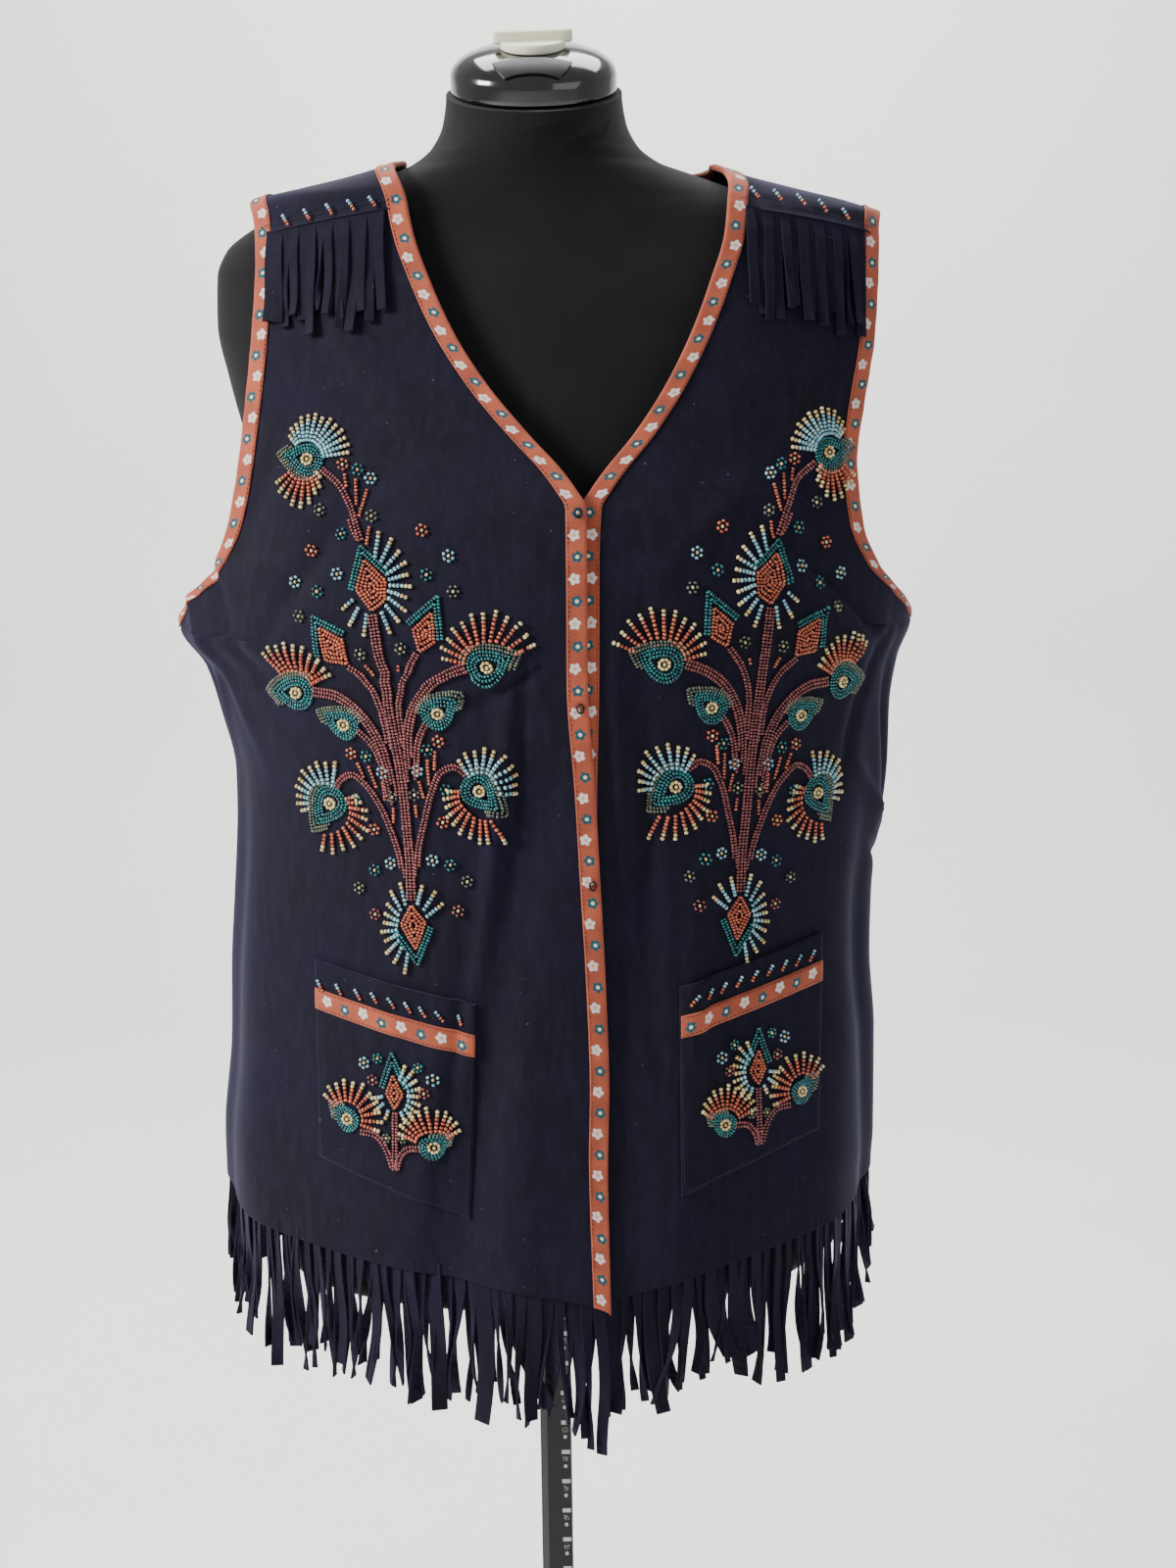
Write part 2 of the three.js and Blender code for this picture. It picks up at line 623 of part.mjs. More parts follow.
// A fringe: a narrow strip along a curve of the body with strands joined to it.
function fringe(curve, options) {
  const samples = options.samples;
  const line = Array.from({ length: samples + 1 }, (_, i) => curve(i / samples, 0));
  const rows = [line, line.map((_, i) => curve(i / samples, rootStrip))];
  const grid = withNormals(rows, awayFromAxis).map((row) =>
    row.map(({ point, normal }) => ({ point, normal: normal.setZ(0).normalize() })),
  );
  const strip = wall(grid, options.off - suede / 2, options.off + suede / 2);
  let length = 0;
  const marks = line.map((point, i) => {
    if (i > 0) length += point.distanceTo(line[i - 1]);
    return length;
  });
  const count = Math.floor((length - strandWidth) / strandPitch) + 1;
  const start = (length - (count - 1) * strandPitch) / 2;
  const strands = Array.from({ length: count }, (_, i) => {
    const at = start + i * strandPitch;
    let k = 0;
    while (k < samples - 1 && marks[k + 1] < at) k += 1;
    const share = (at - marks[k]) / (marks[k + 1] - marks[k]);
    const normal = grid[0][k].normal.clone().lerp(grid[0][k + 1].normal, share).normalize();
    const along = grid[0][k + 1].point.clone().sub(grid[0][k].point).normalize();
    const flat = normal.clone().cross(new THREE.Vector3(0, 0, 1)).normalize();
    const [above, below] = grid.map((row) => row[k].point.clone().lerp(row[k + 1].point, share));
    const anchor = above.lerp(below, 0.6).addScaledVector(normal, options.off);
    const reach = options.length * (1 + lengthScatter * scatter(i, options.seed));
    const sideways = along.dot(flat) < 0 ? flat.negate() : flat;
    const index = i + options.seed;
    return strand(options.path(anchor, normal, sideways, index, reach), normal, sideways, index);
  });
  const joined = strands.reduce((sum, piece) => sum.add(toManifold(piece)), toManifold(strip));
  return fromManifold(joined);
}

// Form
const formTurns = 28;
const formLevels = [
  formBottom, 690, 750, 820, 880, 940, 1000, 1050, 1096, 1140, 1190, 1240, 1285, 1312, 1330, 1344, 1354, 1364,
  1373.5, 1383.6, 1394, 1410, neckTop,
];
const formRings = formLevels.map((z) => {
  const lean = radians(capLean);
  const share = Math.max(0, (z - leanStart) / (neckTop - leanStart));
  return Array.from({ length: formTurns }, (_, i) => {
    const angle = (i / formTurns) * 2 * Math.PI;
    const depth = Math.cos(angle) > 0 ? column(formSections, "front", z) : column(formSections, "back", z);
    const y = -depth * Math.cos(angle);
    return new THREE.Vector3(
      column(formSections, "side", z) * Math.sin(angle),
      y * (1 - (1 - Math.cos(lean)) * share),
      z + y * Math.sin(lean) * share,
    );
  });
});
add("form_torso", loft(formRings, fan(formTurns)), colours.jersey, { roughness: 0.9 });

// Neck cap: a low glossy dome that leans forward, its dial and a small plate on its front slope.
const capBottom = neckTop + seamGap;
const domeAt = (radius) =>
  capBottom + capRim + (capHeight - capRim) * (1 - (radius / capRadius) ** 2.6) ** 0.5;
const capProfile = [new THREE.Vector2(0, capBottom), new THREE.Vector2(capRadius - 3, capBottom)];
capProfile.push(new THREE.Vector2(capRadius, capBottom + 4));
for (const share of [1, 0.985, 0.94, 0.86, 0.72, 0.5, 0.25])
  capProfile.push(new THREE.Vector2(capRadius * share, domeAt(capRadius * share)));
capProfile.push(new THREE.Vector2(0, domeAt(0)));
const upright = (geometry) => geometry.rotateX(Math.PI / 2);
const leaned = (geometry) =>
  geometry.translate(0, 0, -neckTop).rotateX(radians(capLean)).translate(0, 0, neckTop);
const capShape = upright(new THREE.LatheGeometry(capProfile, 24));
add("neck_cap", leaned(capShape.clone()), colours.gloss, { roughness: 0.15 });

// The dial's underside follows the dome.
const dialTop = domeAt(0) + 4;
const dialLow = domeAt(dialRadius + dialForward) - 1;
const dialProfile = [
  [0, dialLow], [dialRadius, dialLow], [dialRadius, dialTop - 1.2], [dialRadius - 2, dialTop], [0, dialTop],
].map(([r, z]) => new THREE.Vector2(r, z));
const dialBlank = upright(new THREE.LatheGeometry(dialProfile, 20)).translate(0, -dialForward, 0);
const dialDisc = toManifold(dialBlank).subtract(toManifold(capShape.clone().translate(0, 0, seamGap)));
const grip = new THREE.Shape();
grip.moveTo(-gripHalf, -gripWide);
grip.lineTo(gripHalf, -gripWide);
grip.quadraticCurveTo(gripHalf + 3, 0, gripHalf, gripWide);
grip.lineTo(-gripHalf, gripWide);
grip.quadraticCurveTo(-gripHalf - 3, 0, -gripHalf, -gripWide);
const gripBar = new THREE.ExtrudeGeometry(grip, { depth: 8, bevelEnabled: false, curveSegments: 4 });
gripBar.rotateZ(radians(gripTurn));
gripBar.translate(0, -dialForward, dialTop - 2);
const dialShape = fromManifold(dialDisc.add(toManifold(gripBar)));
add("neck_dial", leaned(dialShape), colours.dial, { roughness: 0.45 });

const plateRows = [
  { out: 36, half: 25 },
  { out: 43, half: 22 },
  { out: 49, half: 17 },
];
const platePoints = plateRows.map((row) =>
  Array.from({ length: 7 }, (_, i) => {
    const x = lerp(-row.half, row.half, i / 6);
    return new THREE.Vector3(x, -row.out, domeAt(Math.hypot(x, row.out)));
  }),
);
const plateGrid = withNormals(platePoints, () => new THREE.Vector3(0, -0.4, 1));
add("cap_plate", leaned(wall(plateGrid, 0.6, 2)), colours.gloss, { roughness: 0.5 });

// Pole, hub and legs
const pole = new THREE.BoxGeometry(poleSide, poleSide, formBottom - seamGap - hubHeight - seamGap);
pole.translate(0, 0, (formBottom + hubHeight) / 2);
add("pole", pole, colours.pole, { roughness: 0.4, metalness: 0.4 });

const hubProfile = [
  [0, 0], [hubRadius, 0], [hubRadius, hubHeight - 14], [hubRadius - 6, hubHeight - 6], [24, hubHeight], [0, hubHeight],
].map(([r, z]) => new THREE.Vector2(r, z));
add("base_hub", upright(new THREE.LatheGeometry(hubProfile, 20)), colours.pole, { roughness: 0.5 });

for (let i = 0; i < 4; i += 1) {
  const leg = new THREE.Shape();
  leg.moveTo(hubRadius + seamGap, 0);
  leg.lineTo(legReach, 0);
  leg.lineTo(legReach, legHeight * 0.45);
  leg.quadraticCurveTo(legReach - 4, legHeight * 0.6, legReach - 14, legHeight * 0.62);
  leg.lineTo(hubRadius + seamGap, hubHeight - 16);
  const bar = new THREE.ExtrudeGeometry(leg, { depth: 30, bevelEnabled: false, curveSegments: 4 });
  bar.translate(0, 0, -15);
  bar.rotateX(Math.PI / 2);
  bar.rotateZ(radians(45 + 90 * i));
  add(`base_leg_${i + 1}`, bar, colours.pole, { roughness: 0.5 });
}

// Fronts, yokes and their bindings
const half = suede / 2;
const grids = {};
for (const side of ["right", "left"]) {
  const body = frontGrid(side, frontRows, false);
  const yoke = frontGrid(side, yokeRows, true);
  grids[side] = { body, yoke };
  add(`vest_front_${side}`, wall(body, -half, half), colours.suede);
  add(`shoulder_yoke_${side}`, wall(yoke, -half, half), colours.suede);
  const stations = [...body, ...yoke.slice(1)].map((row) => channel(row[0], row[1]));
  add(`front_binding_${side}`, loft(stations, channelCap, { flipped: innerLeg }), colours.binding);
}

// Back and its neck binding
const back = backGrid();
add("vest_back", wall(back, -half, half, true), colours.suede);
const topRow = back[back.length - 1];
const belowTop = back[back.length - 2];
const neckClear = 0.5;
const underarmClear = 0.9;
const neckStart = 0.12; // how far past the shoulder seam the binding's first station lies, in steps
const between = (a, b, share) => ({
  point: a.point.clone().lerp(b.point, share),
  normal: a.normal.clone().lerp(b.normal, share).normalize(),
});
const neckStations = Array.from({ length: neckSteps + 1 }, (_, i) => {
  const at = shoulderSteps + THREE.MathUtils.clamp(i, neckStart, neckSteps - neckStart);
  const low = Math.floor(at);
  const [edge, inner] = [topRow, belowTop].map((row) => between(row[low], row[low + 1], at - low));
  return channel(edge, inner, neckClear);
});
const pastMiddle = (i, j) => i >= neckSteps / 2 !== innerLeg(i, j);
add("back_neck_binding", loft(neckStations, channelCap, { flipped: pastMiddle }), colours.binding);

// Armhole bindings: up the front edge, over the shoulder and down the back edge to the underarm.
const firstArmholeRow = frontRows.findIndex((row) => row.outer === underarm);
const firstBackRow = backRows.indexOf(underarm);
function armholeStations(rows, first, edge, inner) {
  return rows.slice(first).map((row, i) => channel(row[edge], row[inner], i === 0 ? underarmClear : seamGap));
}
for (const side of ["right", "left"]) {
  const { body, yoke } = grids[side];
  const last = body[0].length - 1;
  const front = armholeStations([...body, ...yoke.slice(1)], firstArmholeRow, last, last - 1);
  const backLast = back[0].length - 1;
  const [edge, inner] = side === "right" ? [0, 1] : [backLast, backLast - 1];
  const loop = [...front, ...armholeStations(back, firstBackRow, edge, inner).reverse()];
  const closedLoop = { closed: true, flipped: innerLeg };
  add(`armhole_binding_${side}`, loft(loop, channelCap, closedLoop), colours.binding);
}

// Patch pockets and their floral bands, made from the points of the fronts moved out.
for (const side of ["right", "left"]) {
  const pocket = pockets[side];
  const patch = (across, down, columns, rows) =>
    Array.from({ length: rows + 1 }, (_, r) =>
      Array.from({ length: columns + 1 }, (_, c) => {
        const s = lerp(across[0], across[1], c / columns);
        const t = lerp(down[0], down[1], r / rows);
        const x = lerp(
          lerp(pocket.topOuter[0], pocket.topInner[0], s),
          lerp(pocket.bottomOuter[0], pocket.bottomInner[0], s),
          t,
        );
        const z = lerp(
          lerp(pocket.topOuter[1], pocket.topInner[1], s),
          lerp(pocket.bottomOuter[1], pocket.bottomInner[1], s),
          t,
        );
        return onGrid(grids[side].body, x, z);
      }),
    );
  const seat = half + 0.8;
  const sheet = patch([0, 1], [0, 1], 8, 8);
  add(`pocket_${side}`, wall(sheet, seat, seat + pocketThickness), colours.suede);
  const band = patch([0.01, 0.99], [bandTop, bandBottom], 8, 1);
  const bandSeat = seat + pocketThickness + 0.4;
  add(`pocket_band_${side}`, wall(band, bandSeat, bandSeat + bandThickness), colours.binding);
}

// Hem fringe, each length hung from a strip just below the cloth's edge.
const hemLine = (side, share, down) => {
  const row = { ...frontRows[0] };
  const sign = side === "right" ? -1 : 1;
  const innerX = column(frontEdges, side, row.inner) + sign;
  const start = angleAt(innerX, row.inner);
  const angle = lerp(start, sign * frontFringeEnd, share);
  const z = lerp(row.inner, row.outer, share ** hemCurve) - stripDrop - down;
  const x = column(vestSections, side, z) * Math.sin(angle);
  return bodyPoint(angle, z, lapOffset(side, x));
};
for (const side of ["right", "left"]) {
  const line = (share, down) => hemLine(side, share, down);
  const path = hanging(side === "right" ? 0.5 : -3.5);
  const options = { samples: 16, off: 0, length: 82, path, seed: side === "right" ? 3 : 57 };
  add(`hem_fringe_${side}`, fringe(line, options), colours.suede);
}
const backHem = (share, down) => {
  const angle = -lerp(backFringeStart, 2 * Math.PI - backFringeStart, share);
  const z = backRows[0] - backHemDrop * Math.sin(Math.PI * share) - stripDrop - down;
  return bodyPoint(angle, z);
};
const backFringe = { samples: 28, off: 0, length: 80, path: hanging(-1), seed: 101 };
add("hem_fringe_back", fringe(backHem, backFringe), colours.suede);

// Shoulder fringe, laid on the front just below the yoke seam.
const shoulderOff = half + 1.7;
const lying = (side) => (anchor, outward, along, index, length) => (share) => {
  const z = anchor.z - share * length;
  const place = frontPoint(side, anchor.x + share * share * 2 * scatter(index, 2), z);
  return place.addScaledVector(outward, shoulderOff + share * (1 + 2.5 * (1 + scatter(index, 3))));
};
const shoulderFringe = {
  right: { from: [-97, 1347.5], to: [-164, 1334] },
  left: { from: [137, 1346.5], to: [207, 1333.5] },
};
for (const side of ["right", "left"]) {
  const { from, to } = shoulderFringe[side];
  const line = (share, down) => frontPoint(side, lerp(from[0], to[0], share), lerp(from[1], to[1], share) - down);
  const seed = side === "right" ? 11 : 31;
  const options = { samples: 8, off: shoulderOff, length: 62, path: lying(side), seed };
  add(`shoulder_fringe_${side}`, fringe(line, options), colours.suede);
}

// Hooks: small wire rings that close the front edges, seated on the right front's binding.
const ringShape = new THREE.Shape();
ringShape.absellipse(0, 0, hookOuter.wide, hookOuter.high, 0, 2 * Math.PI);
const ringHole = new THREE.Path();
ringHole.absellipse(0, 0, hookInner.wide, hookInner.high, 0, 2 * Math.PI);
ringShape.holes.push(ringHole);
hooks.forEach((z, i) => {
  const x = column(frontEdges, "right", z) - 5;
  const seatPoint = frontPoint("right", x, z);
  const ring = new THREE.ExtrudeGeometry(ringShape, { depth: hookWire, bevelEnabled: false, curveSegments: 4 });
  ring.rotateX(Math.PI / 2);
  const stand = half + seamGap + bindingThickness + 1.1;
  ring.translate(seatPoint.x, seatPoint.y - stand, seatPoint.z);
  add(`hook_${i + 1}`, ring, colours.gloss, { roughness: 0.3, metalness: 0.6 });
});

export default root;
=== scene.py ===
import math

import bpy
import numpy as np
from mathutils import Matrix, Vector


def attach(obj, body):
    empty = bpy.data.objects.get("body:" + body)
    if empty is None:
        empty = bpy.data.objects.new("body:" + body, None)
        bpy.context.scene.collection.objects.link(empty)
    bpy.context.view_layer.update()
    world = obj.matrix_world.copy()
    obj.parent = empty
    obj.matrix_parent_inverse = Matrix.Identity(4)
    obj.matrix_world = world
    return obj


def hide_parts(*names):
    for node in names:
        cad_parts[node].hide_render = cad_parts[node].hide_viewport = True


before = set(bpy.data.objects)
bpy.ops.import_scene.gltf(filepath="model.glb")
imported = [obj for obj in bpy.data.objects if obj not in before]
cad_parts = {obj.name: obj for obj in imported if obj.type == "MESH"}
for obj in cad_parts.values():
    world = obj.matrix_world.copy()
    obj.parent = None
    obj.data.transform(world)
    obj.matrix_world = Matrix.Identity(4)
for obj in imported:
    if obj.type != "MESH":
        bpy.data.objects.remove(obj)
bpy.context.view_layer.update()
print("frame loaded:", len(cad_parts), "nodes")

mm = 0.001


# rows of a table as dictionaries, from the names of its columns
def rowsFrom(columns, rows):
    return [dict(zip(columns.split(), row)) for row in rows]


# the vest's plain sections: reach to the wearer's right (-X) and left (+X), front and back depth, in mm
vestSections = rowsFrom("z right left front back", [
    (640, 226, 222, 156, 148), (708, 226, 222, 152, 146),
    (735, 226, 223.5, 149, 144), (805, 219, 223.5, 144, 138),
    (862, 216.5, 220, 141, 132), (904, 213, 221, 140, 127),
    (944, 210, 226, 140, 122), (991, 208.5, 231, 144, 117),
    (1030, 216, 232, 149, 114), (1062, 225, 237, 151.5, 112),
    (1088, 241.5, 246, 152, 112), (1150, 240, 245, 140, 113),
    (1200, 237, 244, 119, 114), (1250, 231, 243, 98, 112),
    (1285, 223, 241, 84, 104), (1315, 215, 238, 73, 93),
    (1336, 206, 233, 66, 83), (1349, 199, 225, 62, 76),
    (1357, 192, 204, 60, 73), (1363, 182, 180, 59.5, 71),
    (1369, 155, 156, 59.5, 70), (1374.5, 129, 135, 60, 69),
    (1381, 103, 114, 61, 68), (1386, 84, 94, 62, 68),
])
# front edge and neckline, as x at each height
frontEdges = rowsFrom("z right left", [
    (640, 39, 26), (746, 38, 25),
    (810, 39.5, 23), (874, 38, 20),
    (936, 35.5, 21), (997, 33, 22),
    (1058, 29.5, 24), (1130, 30, 25),
    (1166, 30, 27), (1176, 24.5, 33),
    (1188, 16, 42), (1210, -4, 60.5),
    (1240, -29, 80.5), (1272, -49.5, 97),
    (1302, -63.5, 109), (1337, -76, 120),
    (1361, -80.5, 122), (1375, -82, 118),
    (1381, -83, 113),
])
# armhole edges, as distances from the middle plane
armholes = rowsFrom("z frontRight frontLeft backRight backLeft", [
    (1088, 241, 245, 241, 245), (1095, 239, 243, 239.5, 243.5),
    (1107, 229, 234, 233, 238), (1125, 212, 217, 220, 225),
    (1153, 197, 205, 211, 217), (1190, 189.5, 202, 202, 212),
    (1227, 185, 208, 195, 212), (1270, 181, 216.5, 189, 218),
    (1320, 178.5, 220.5, 185, 222), (1349, 180, 221.5, 183, 222.5),
    (1363, 182, 222, 182, 222),
])
# a front's rows from hem to shoulder seam: v, then the height at its inner and outer edge on each side
frontRows = rowsFrom("v innerRight outerRight innerLeft outerLeft", [
    (0.00, 660, 709, 660, 709), (0.10, 745, 775, 745, 775),
    (0.26, 880, 892, 880, 892), (0.42, 1012, 1012, 1012, 1012),
    (0.52, 1088, 1088, 1088, 1088), (0.60, 1146, 1130, 1146, 1130),
    (0.68, 1200, 1188, 1200, 1188), (0.76, 1256, 1250, 1256, 1250),
    (0.84, 1310, 1300, 1310, 1298), (0.90, 1352, 1336, 1350, 1333),
    (1.00, 1385.5, 1363, 1381, 1350),
])
seamV = 0.90  # where the yoke's seam crosses

# drape: angle round the body from the middle front in degrees (wearer's left positive), width in
# degrees, depth in mm; a trough is negative. The first rows are those of the solids.
folds = rowsFrom("top bottom fromAngle toAngle width depth", [
    (1100, 662, 4, -17, 5, -5), (1000, 662, -4, -5, 5, 3.5),
    (1010, 690, 22, 20, 6, 3), (1075, 860, -72, -76, 7, -4),
    (1075, 780, 66, 74, 6, -5), (960, 700, -62, -58, 8, 4),
    (960, 700, 58, 55, 8, 4), (1120, 690, 150, 146, 9, 5),
    (1120, 690, -148, -152, 9, 5), (1000, 690, 178, 174, 7, -4),
    (1060, 700, 118, 112, 8, -4), (1060, 700, -114, -118, 8, -4),
])
# finer creases: centre in degrees and mm of height, half length and half width in mm, lean in degrees
creases = rowsFrom("angle z long wide lean depth", [
    (-9, 1060, 26, 3.2, 62, 2.4), (-3, 1064, 16, 2.2, 50, -3.1),
    (-1, 1070, 30, 1.6, -12, 1.6), (-4, 1000, 70, 3.4, 4, -3.5),
    (-8, 960, 120, 4.6, 7, 4.2), (-15, 830, 130, 6.5, 6, -3.0),
    (-19, 770, 90, 9, 5, 1.7), (-36, 1130, 70, 7, 34, -2.8),
    (-58, 1110, 60, 6, -22, -4.5), (-66, 1090, 70, 6.5, -16, 3.9),
    (12, 1010, 80, 4.4, -3, 3.3), (17, 940, 120, 5, -2, -3.9),
    (25, 860, 120, 6, 3, 3.1), (52, 1106, 60, 3.6, -50, -4.2),
    (47, 1098, 60, 4.4, -48, 2.8), (60, 1030, 60, 6, 20, -3.5),
    (-80, 1030, 60, 7, 14, -4.2), (-70, 1052, 45, 6, 30, 2.8),
    (78, 1010, 60, 8, -16, -4.5), (66, 985, 46, 6, -55, 2.4),
    (84, 930, 38, 6, -70, -3.9), (80, 960, 34, 5, -64, 2.8),
    (14, 900, 110, 10, 4, -2.4), (-22, 930, 90, 12, 10, 2.1),
    (-46, 1180, 40, 9, 20, -2.1), (40, 1190, 46, 9, -24, -2.1),
    (-26, 1250, 50, 11, -35, 1.8), (24, 1150, 40, 8, 40, 1.8),
    (150, 1240, 60, 11, 30, -3.1), (-150, 1230, 60, 11, -32, -3.1),
    (165, 980, 70, 9, -20, 3.1), (-160, 960, 60, 9, 24, -3.1),
    (104, 1010, 50, 8, -28, -3.5), (-102, 1000, 50, 8, 26, -3.5),
])
lapLift, lapReach = 2.4, 60


# smooth interpolation of a table's column: cubic Hermite pieces with harmonic-mean slopes
def column(rows, name, at, key="z"):
    x = np.array([row[key] for row in rows], float)
    y = np.array([row[name] for row in rows], float)
    at = np.clip(np.asarray(at, float), x[0], x[-1])
    rise = np.diff(y) / np.diff(x)
    slope = np.zeros_like(y)
    before, after = rise[:-1], rise[1:]
    same = before * after > 0
    slope[1:-1][same] = (2 * before * after)[same] / (before + after)[same]
    i = np.clip(np.searchsorted(x, at, side="right") - 1, 0, len(x) - 2)
    span = x[i + 1] - x[i]
    t = (at - x[i]) / span
    h = (2 * t - 3) * t * t
    return (
        y[i] * (1 + h) - y[i + 1] * h
        + slope[i] * span * t * (1 - t) ** 2 + slope[i + 1] * span * t * t * (t - 1)
    )


# the drape's depth: a sum of Gaussian troughs and ridges along slanting lines, and short creases
def foldDepth(angle, z):
    deg = np.degrees(angle)
    total = np.zeros(np.broadcast(angle, z).shape)
    for fold in folds:
        along = (fold["top"] - z) / (fold["top"] - fold["bottom"])
        middle = fold["fromAngle"] + (fold["toAngle"] - fold["fromAngle"]) * np.minimum(along, 1.2)
        away = ((deg - middle + 540) % 360 - 180) / fold["width"]
        total = total + fold["depth"] * np.clip(along * 1.6, 0, 1) * np.exp(-away * away)
    for crease in creases:
        sideways = ((deg - crease["angle"] + 540) % 360 - 180) * 3.1
        up = z - crease["z"]
        lean = math.radians(crease["lean"])
        length = (up * math.cos(lean) + sideways * math.sin(lean)) / crease["long"]
        width = (sideways * math.cos(lean) - up * math.sin(lean)) / crease["wide"]
        total = total + crease["depth"] * np.exp(-length * length - width * width)
    return total


# a point of the vest's middle surface: x = reach sin(angle), y = -depth cos(angle), moved out by the drape
def bodyPoint(angle, z, lift=0.0):
    across, ahead = np.sin(angle), np.cos(angle)
    reach = np.where(across > 0, column(vestSections, "left", z), column(vestSections, "right", z))
    depth = np.where(ahead > 0, column(vestSections, "front", z), column(vestSections, "back", z))
    off = foldDepth(angle, z) + lift
    return np.stack([(reach + off) * across, -(depth + off) * ahead, z + 0 * angle], axis=-1)


# the angle round the form at which the vest's section reaches x: the arc sine of x over its reach
def angleAt(x, z):
    reach = np.where(np.asarray(x) > 0, column(vestSections, "left", z), column(vestSections, "right", z))
    return np.arcsin(np.clip(x / reach, -1, 1))


# each front stands off the other where they lap: a smooth step of the distance from the lap's middle
def lapOffset(side, x):
    near = np.maximum(0, 1 - np.abs(x - 27) / lapReach)
    return (lapLift if side == "right" else -lapLift) * near * near * (3 - 2 * near)


# the place of a front at (x, z), with its lap over the other front
def frontPoint(side, x, z):
    x, z = np.broadcast_arrays(np.asarray(x, float), np.asarray(z, float))
    return bodyPoint(angleAt(x, z), z, lapOffset(side, x))


# the outward normal of a front at (x, z), from central differences of the surface
def frontNormal(side, x, z):
    step = 1.0
    acrossDiff = frontPoint(side, x + step, z) - frontPoint(side, x - step, z)
    upDiff = frontPoint(side, x, z + step) - frontPoint(side, x, z - step)
    normal = np.cross(acrossDiff, upDiff)
    return normal / np.linalg.norm(normal, axis=-1, keepdims=True)


# a front's sheet: share runs from its front edge (0) to its side (1), v from the hem (0) to the shoulder
# seam (1); heights and angles are blended between the two edges, and over the shoulder the height
# follows a quarter sine, so that the sheet rolls over
def frontSheet(side, share, v):
    share, v = np.broadcast_arrays(np.asarray(share, float), np.asarray(v, float))
    sign, name = (-1, "Right") if side == "right" else (1, "Left")
    over = np.clip((v - seamV) / (1 - seamV), 0, 1)
    heights = []
    for edge in ("inner", "outer"):
        low = column(frontRows, edge + name, np.minimum(v, seamV), "v")
        top = frontRows[-1][edge + name]
        heights.append(low + (top - low) * np.sin(over * math.pi / 2))
    inner, outer = heights
    seamAngle = math.radians(89.6)
    innerX = column(frontEdges, side, inner) + sign * edgeInset
    innerX = innerX + (sign * column(vestSections, side, inner) - innerX) * over ** 3
    start = np.where(over >= 1, sign * seamAngle, angleAt(innerX, inner))
    armholeX = sign * (column(armholes, "front" + name, outer) - edgeInset)
    armholeX = armholeX + (sign * column(vestSections, side, outer) - armholeX) * over ** 3
    end = np.where((outer > underarm) & (over < 1), angleAt(armholeX, outer), sign * seamAngle)
    blend = np.where(outer < 1000, share ** 0.6, share)
    z = inner + (outer - inner) * blend
    angle = start + (end - start) * share
    x = column(vestSections, side, z) * np.sin(angle)
    return bodyPoint(angle, z, lapOffset(side, x))


edgeInset, underarm = 1.0, 1088
suede = 1.6
backTable = {
    "hem": 709, "dip": 36, "rightNeck": 1385.5, "leftNeck": 1381, "rightTip": 1363, "leftTip": 1350,
    "shoulder": 4 / 18, "neckDip": 5,
}


# the back's sheet: share runs from the wearer's right side (0) to the left (1), v from the hem to the
# shoulders and neck; up to the shoulder blades the rows lie level, then they rise to the seam
def backSheet(share, v):
    share, v = np.broadcast_arrays(np.asarray(share, float), np.asarray(v, float))
    shoulderBlade, rise = 1290, np.clip((v - 0.84) / 0.16, 0, 1)
    z = backTable["hem"] + (shoulderBlade - backTable["hem"]) * np.clip(v / 0.84, 0, 1)
    angles = []
    for side, name in (("right", "backRight"), ("left", "backLeft")):
        wide = (column(armholes, name, z) - edgeInset) / column(vestSections, side, z)
        above = math.pi - np.arcsin(np.clip(wide, 0, 1))
        angles.append(np.where(z > underarm, above, math.radians(90.2)))
    angle = -(angles[0] + (2 * math.pi - angles[1] - angles[0]) * share)
    drop = backTable["dip"] * np.sin(math.pi * share) * np.maximum(0, 1000 - z) / 291
    level = z - drop
    low = bodyPoint(angle, level)
    near = np.minimum(share, 1 - share) / backTable["shoulder"]
    isRight = share < 0.5
    tip = np.where(isRight, backTable["rightTip"], backTable["leftTip"])
    neck = np.where(isRight, backTable["rightNeck"], backTable["leftNeck"])
    across = np.clip((share - backTable["shoulder"]) / (1 - 2 * backTable["shoulder"]), 0, 1)
    neckLevel = backTable["rightNeck"] + (backTable["leftNeck"] - backTable["rightNeck"]) * across
    neckLevel = neckLevel - backTable["neckDip"] * np.sin(math.pi * across)
    topZ = np.where(near <= 1, tip + (neck - tip) * np.clip(near, 0, 1), neckLevel)
    seamAngle = math.radians(90.2)
    topAngle = np.where(
        near <= 1,
        np.where(isRight, -seamAngle, seamAngle - 2 * math.pi),
        -(seamAngle + (2 * math.pi - 2 * seamAngle) * across),
    )
    top = bodyPoint(topAngle, topZ)
    eased = np.sin(rise * math.pi / 2)
    upZ = level + (topZ - level) * eased
    x = low[..., 0] + (top[..., 0] - low[..., 0]) * rise
    side = bodyPoint(math.pi - angleAt(x, upZ), upZ)
    return np.where((rise >= 1)[..., None], top, np.where((rise > 0)[..., None], side, low))


# unit normals of a grid of points, from the cross product of its differences, turned outwards
def gridNormals(grid, flip=False):
    across = np.gradient(grid, axis=1)
    up = np.gradient(grid, axis=0)
    normal = np.cross(across, up) * (-1 if flip else 1)
    return normal / np.maximum(np.linalg.norm(normal, axis=-1, keepdims=True), 1e-9)


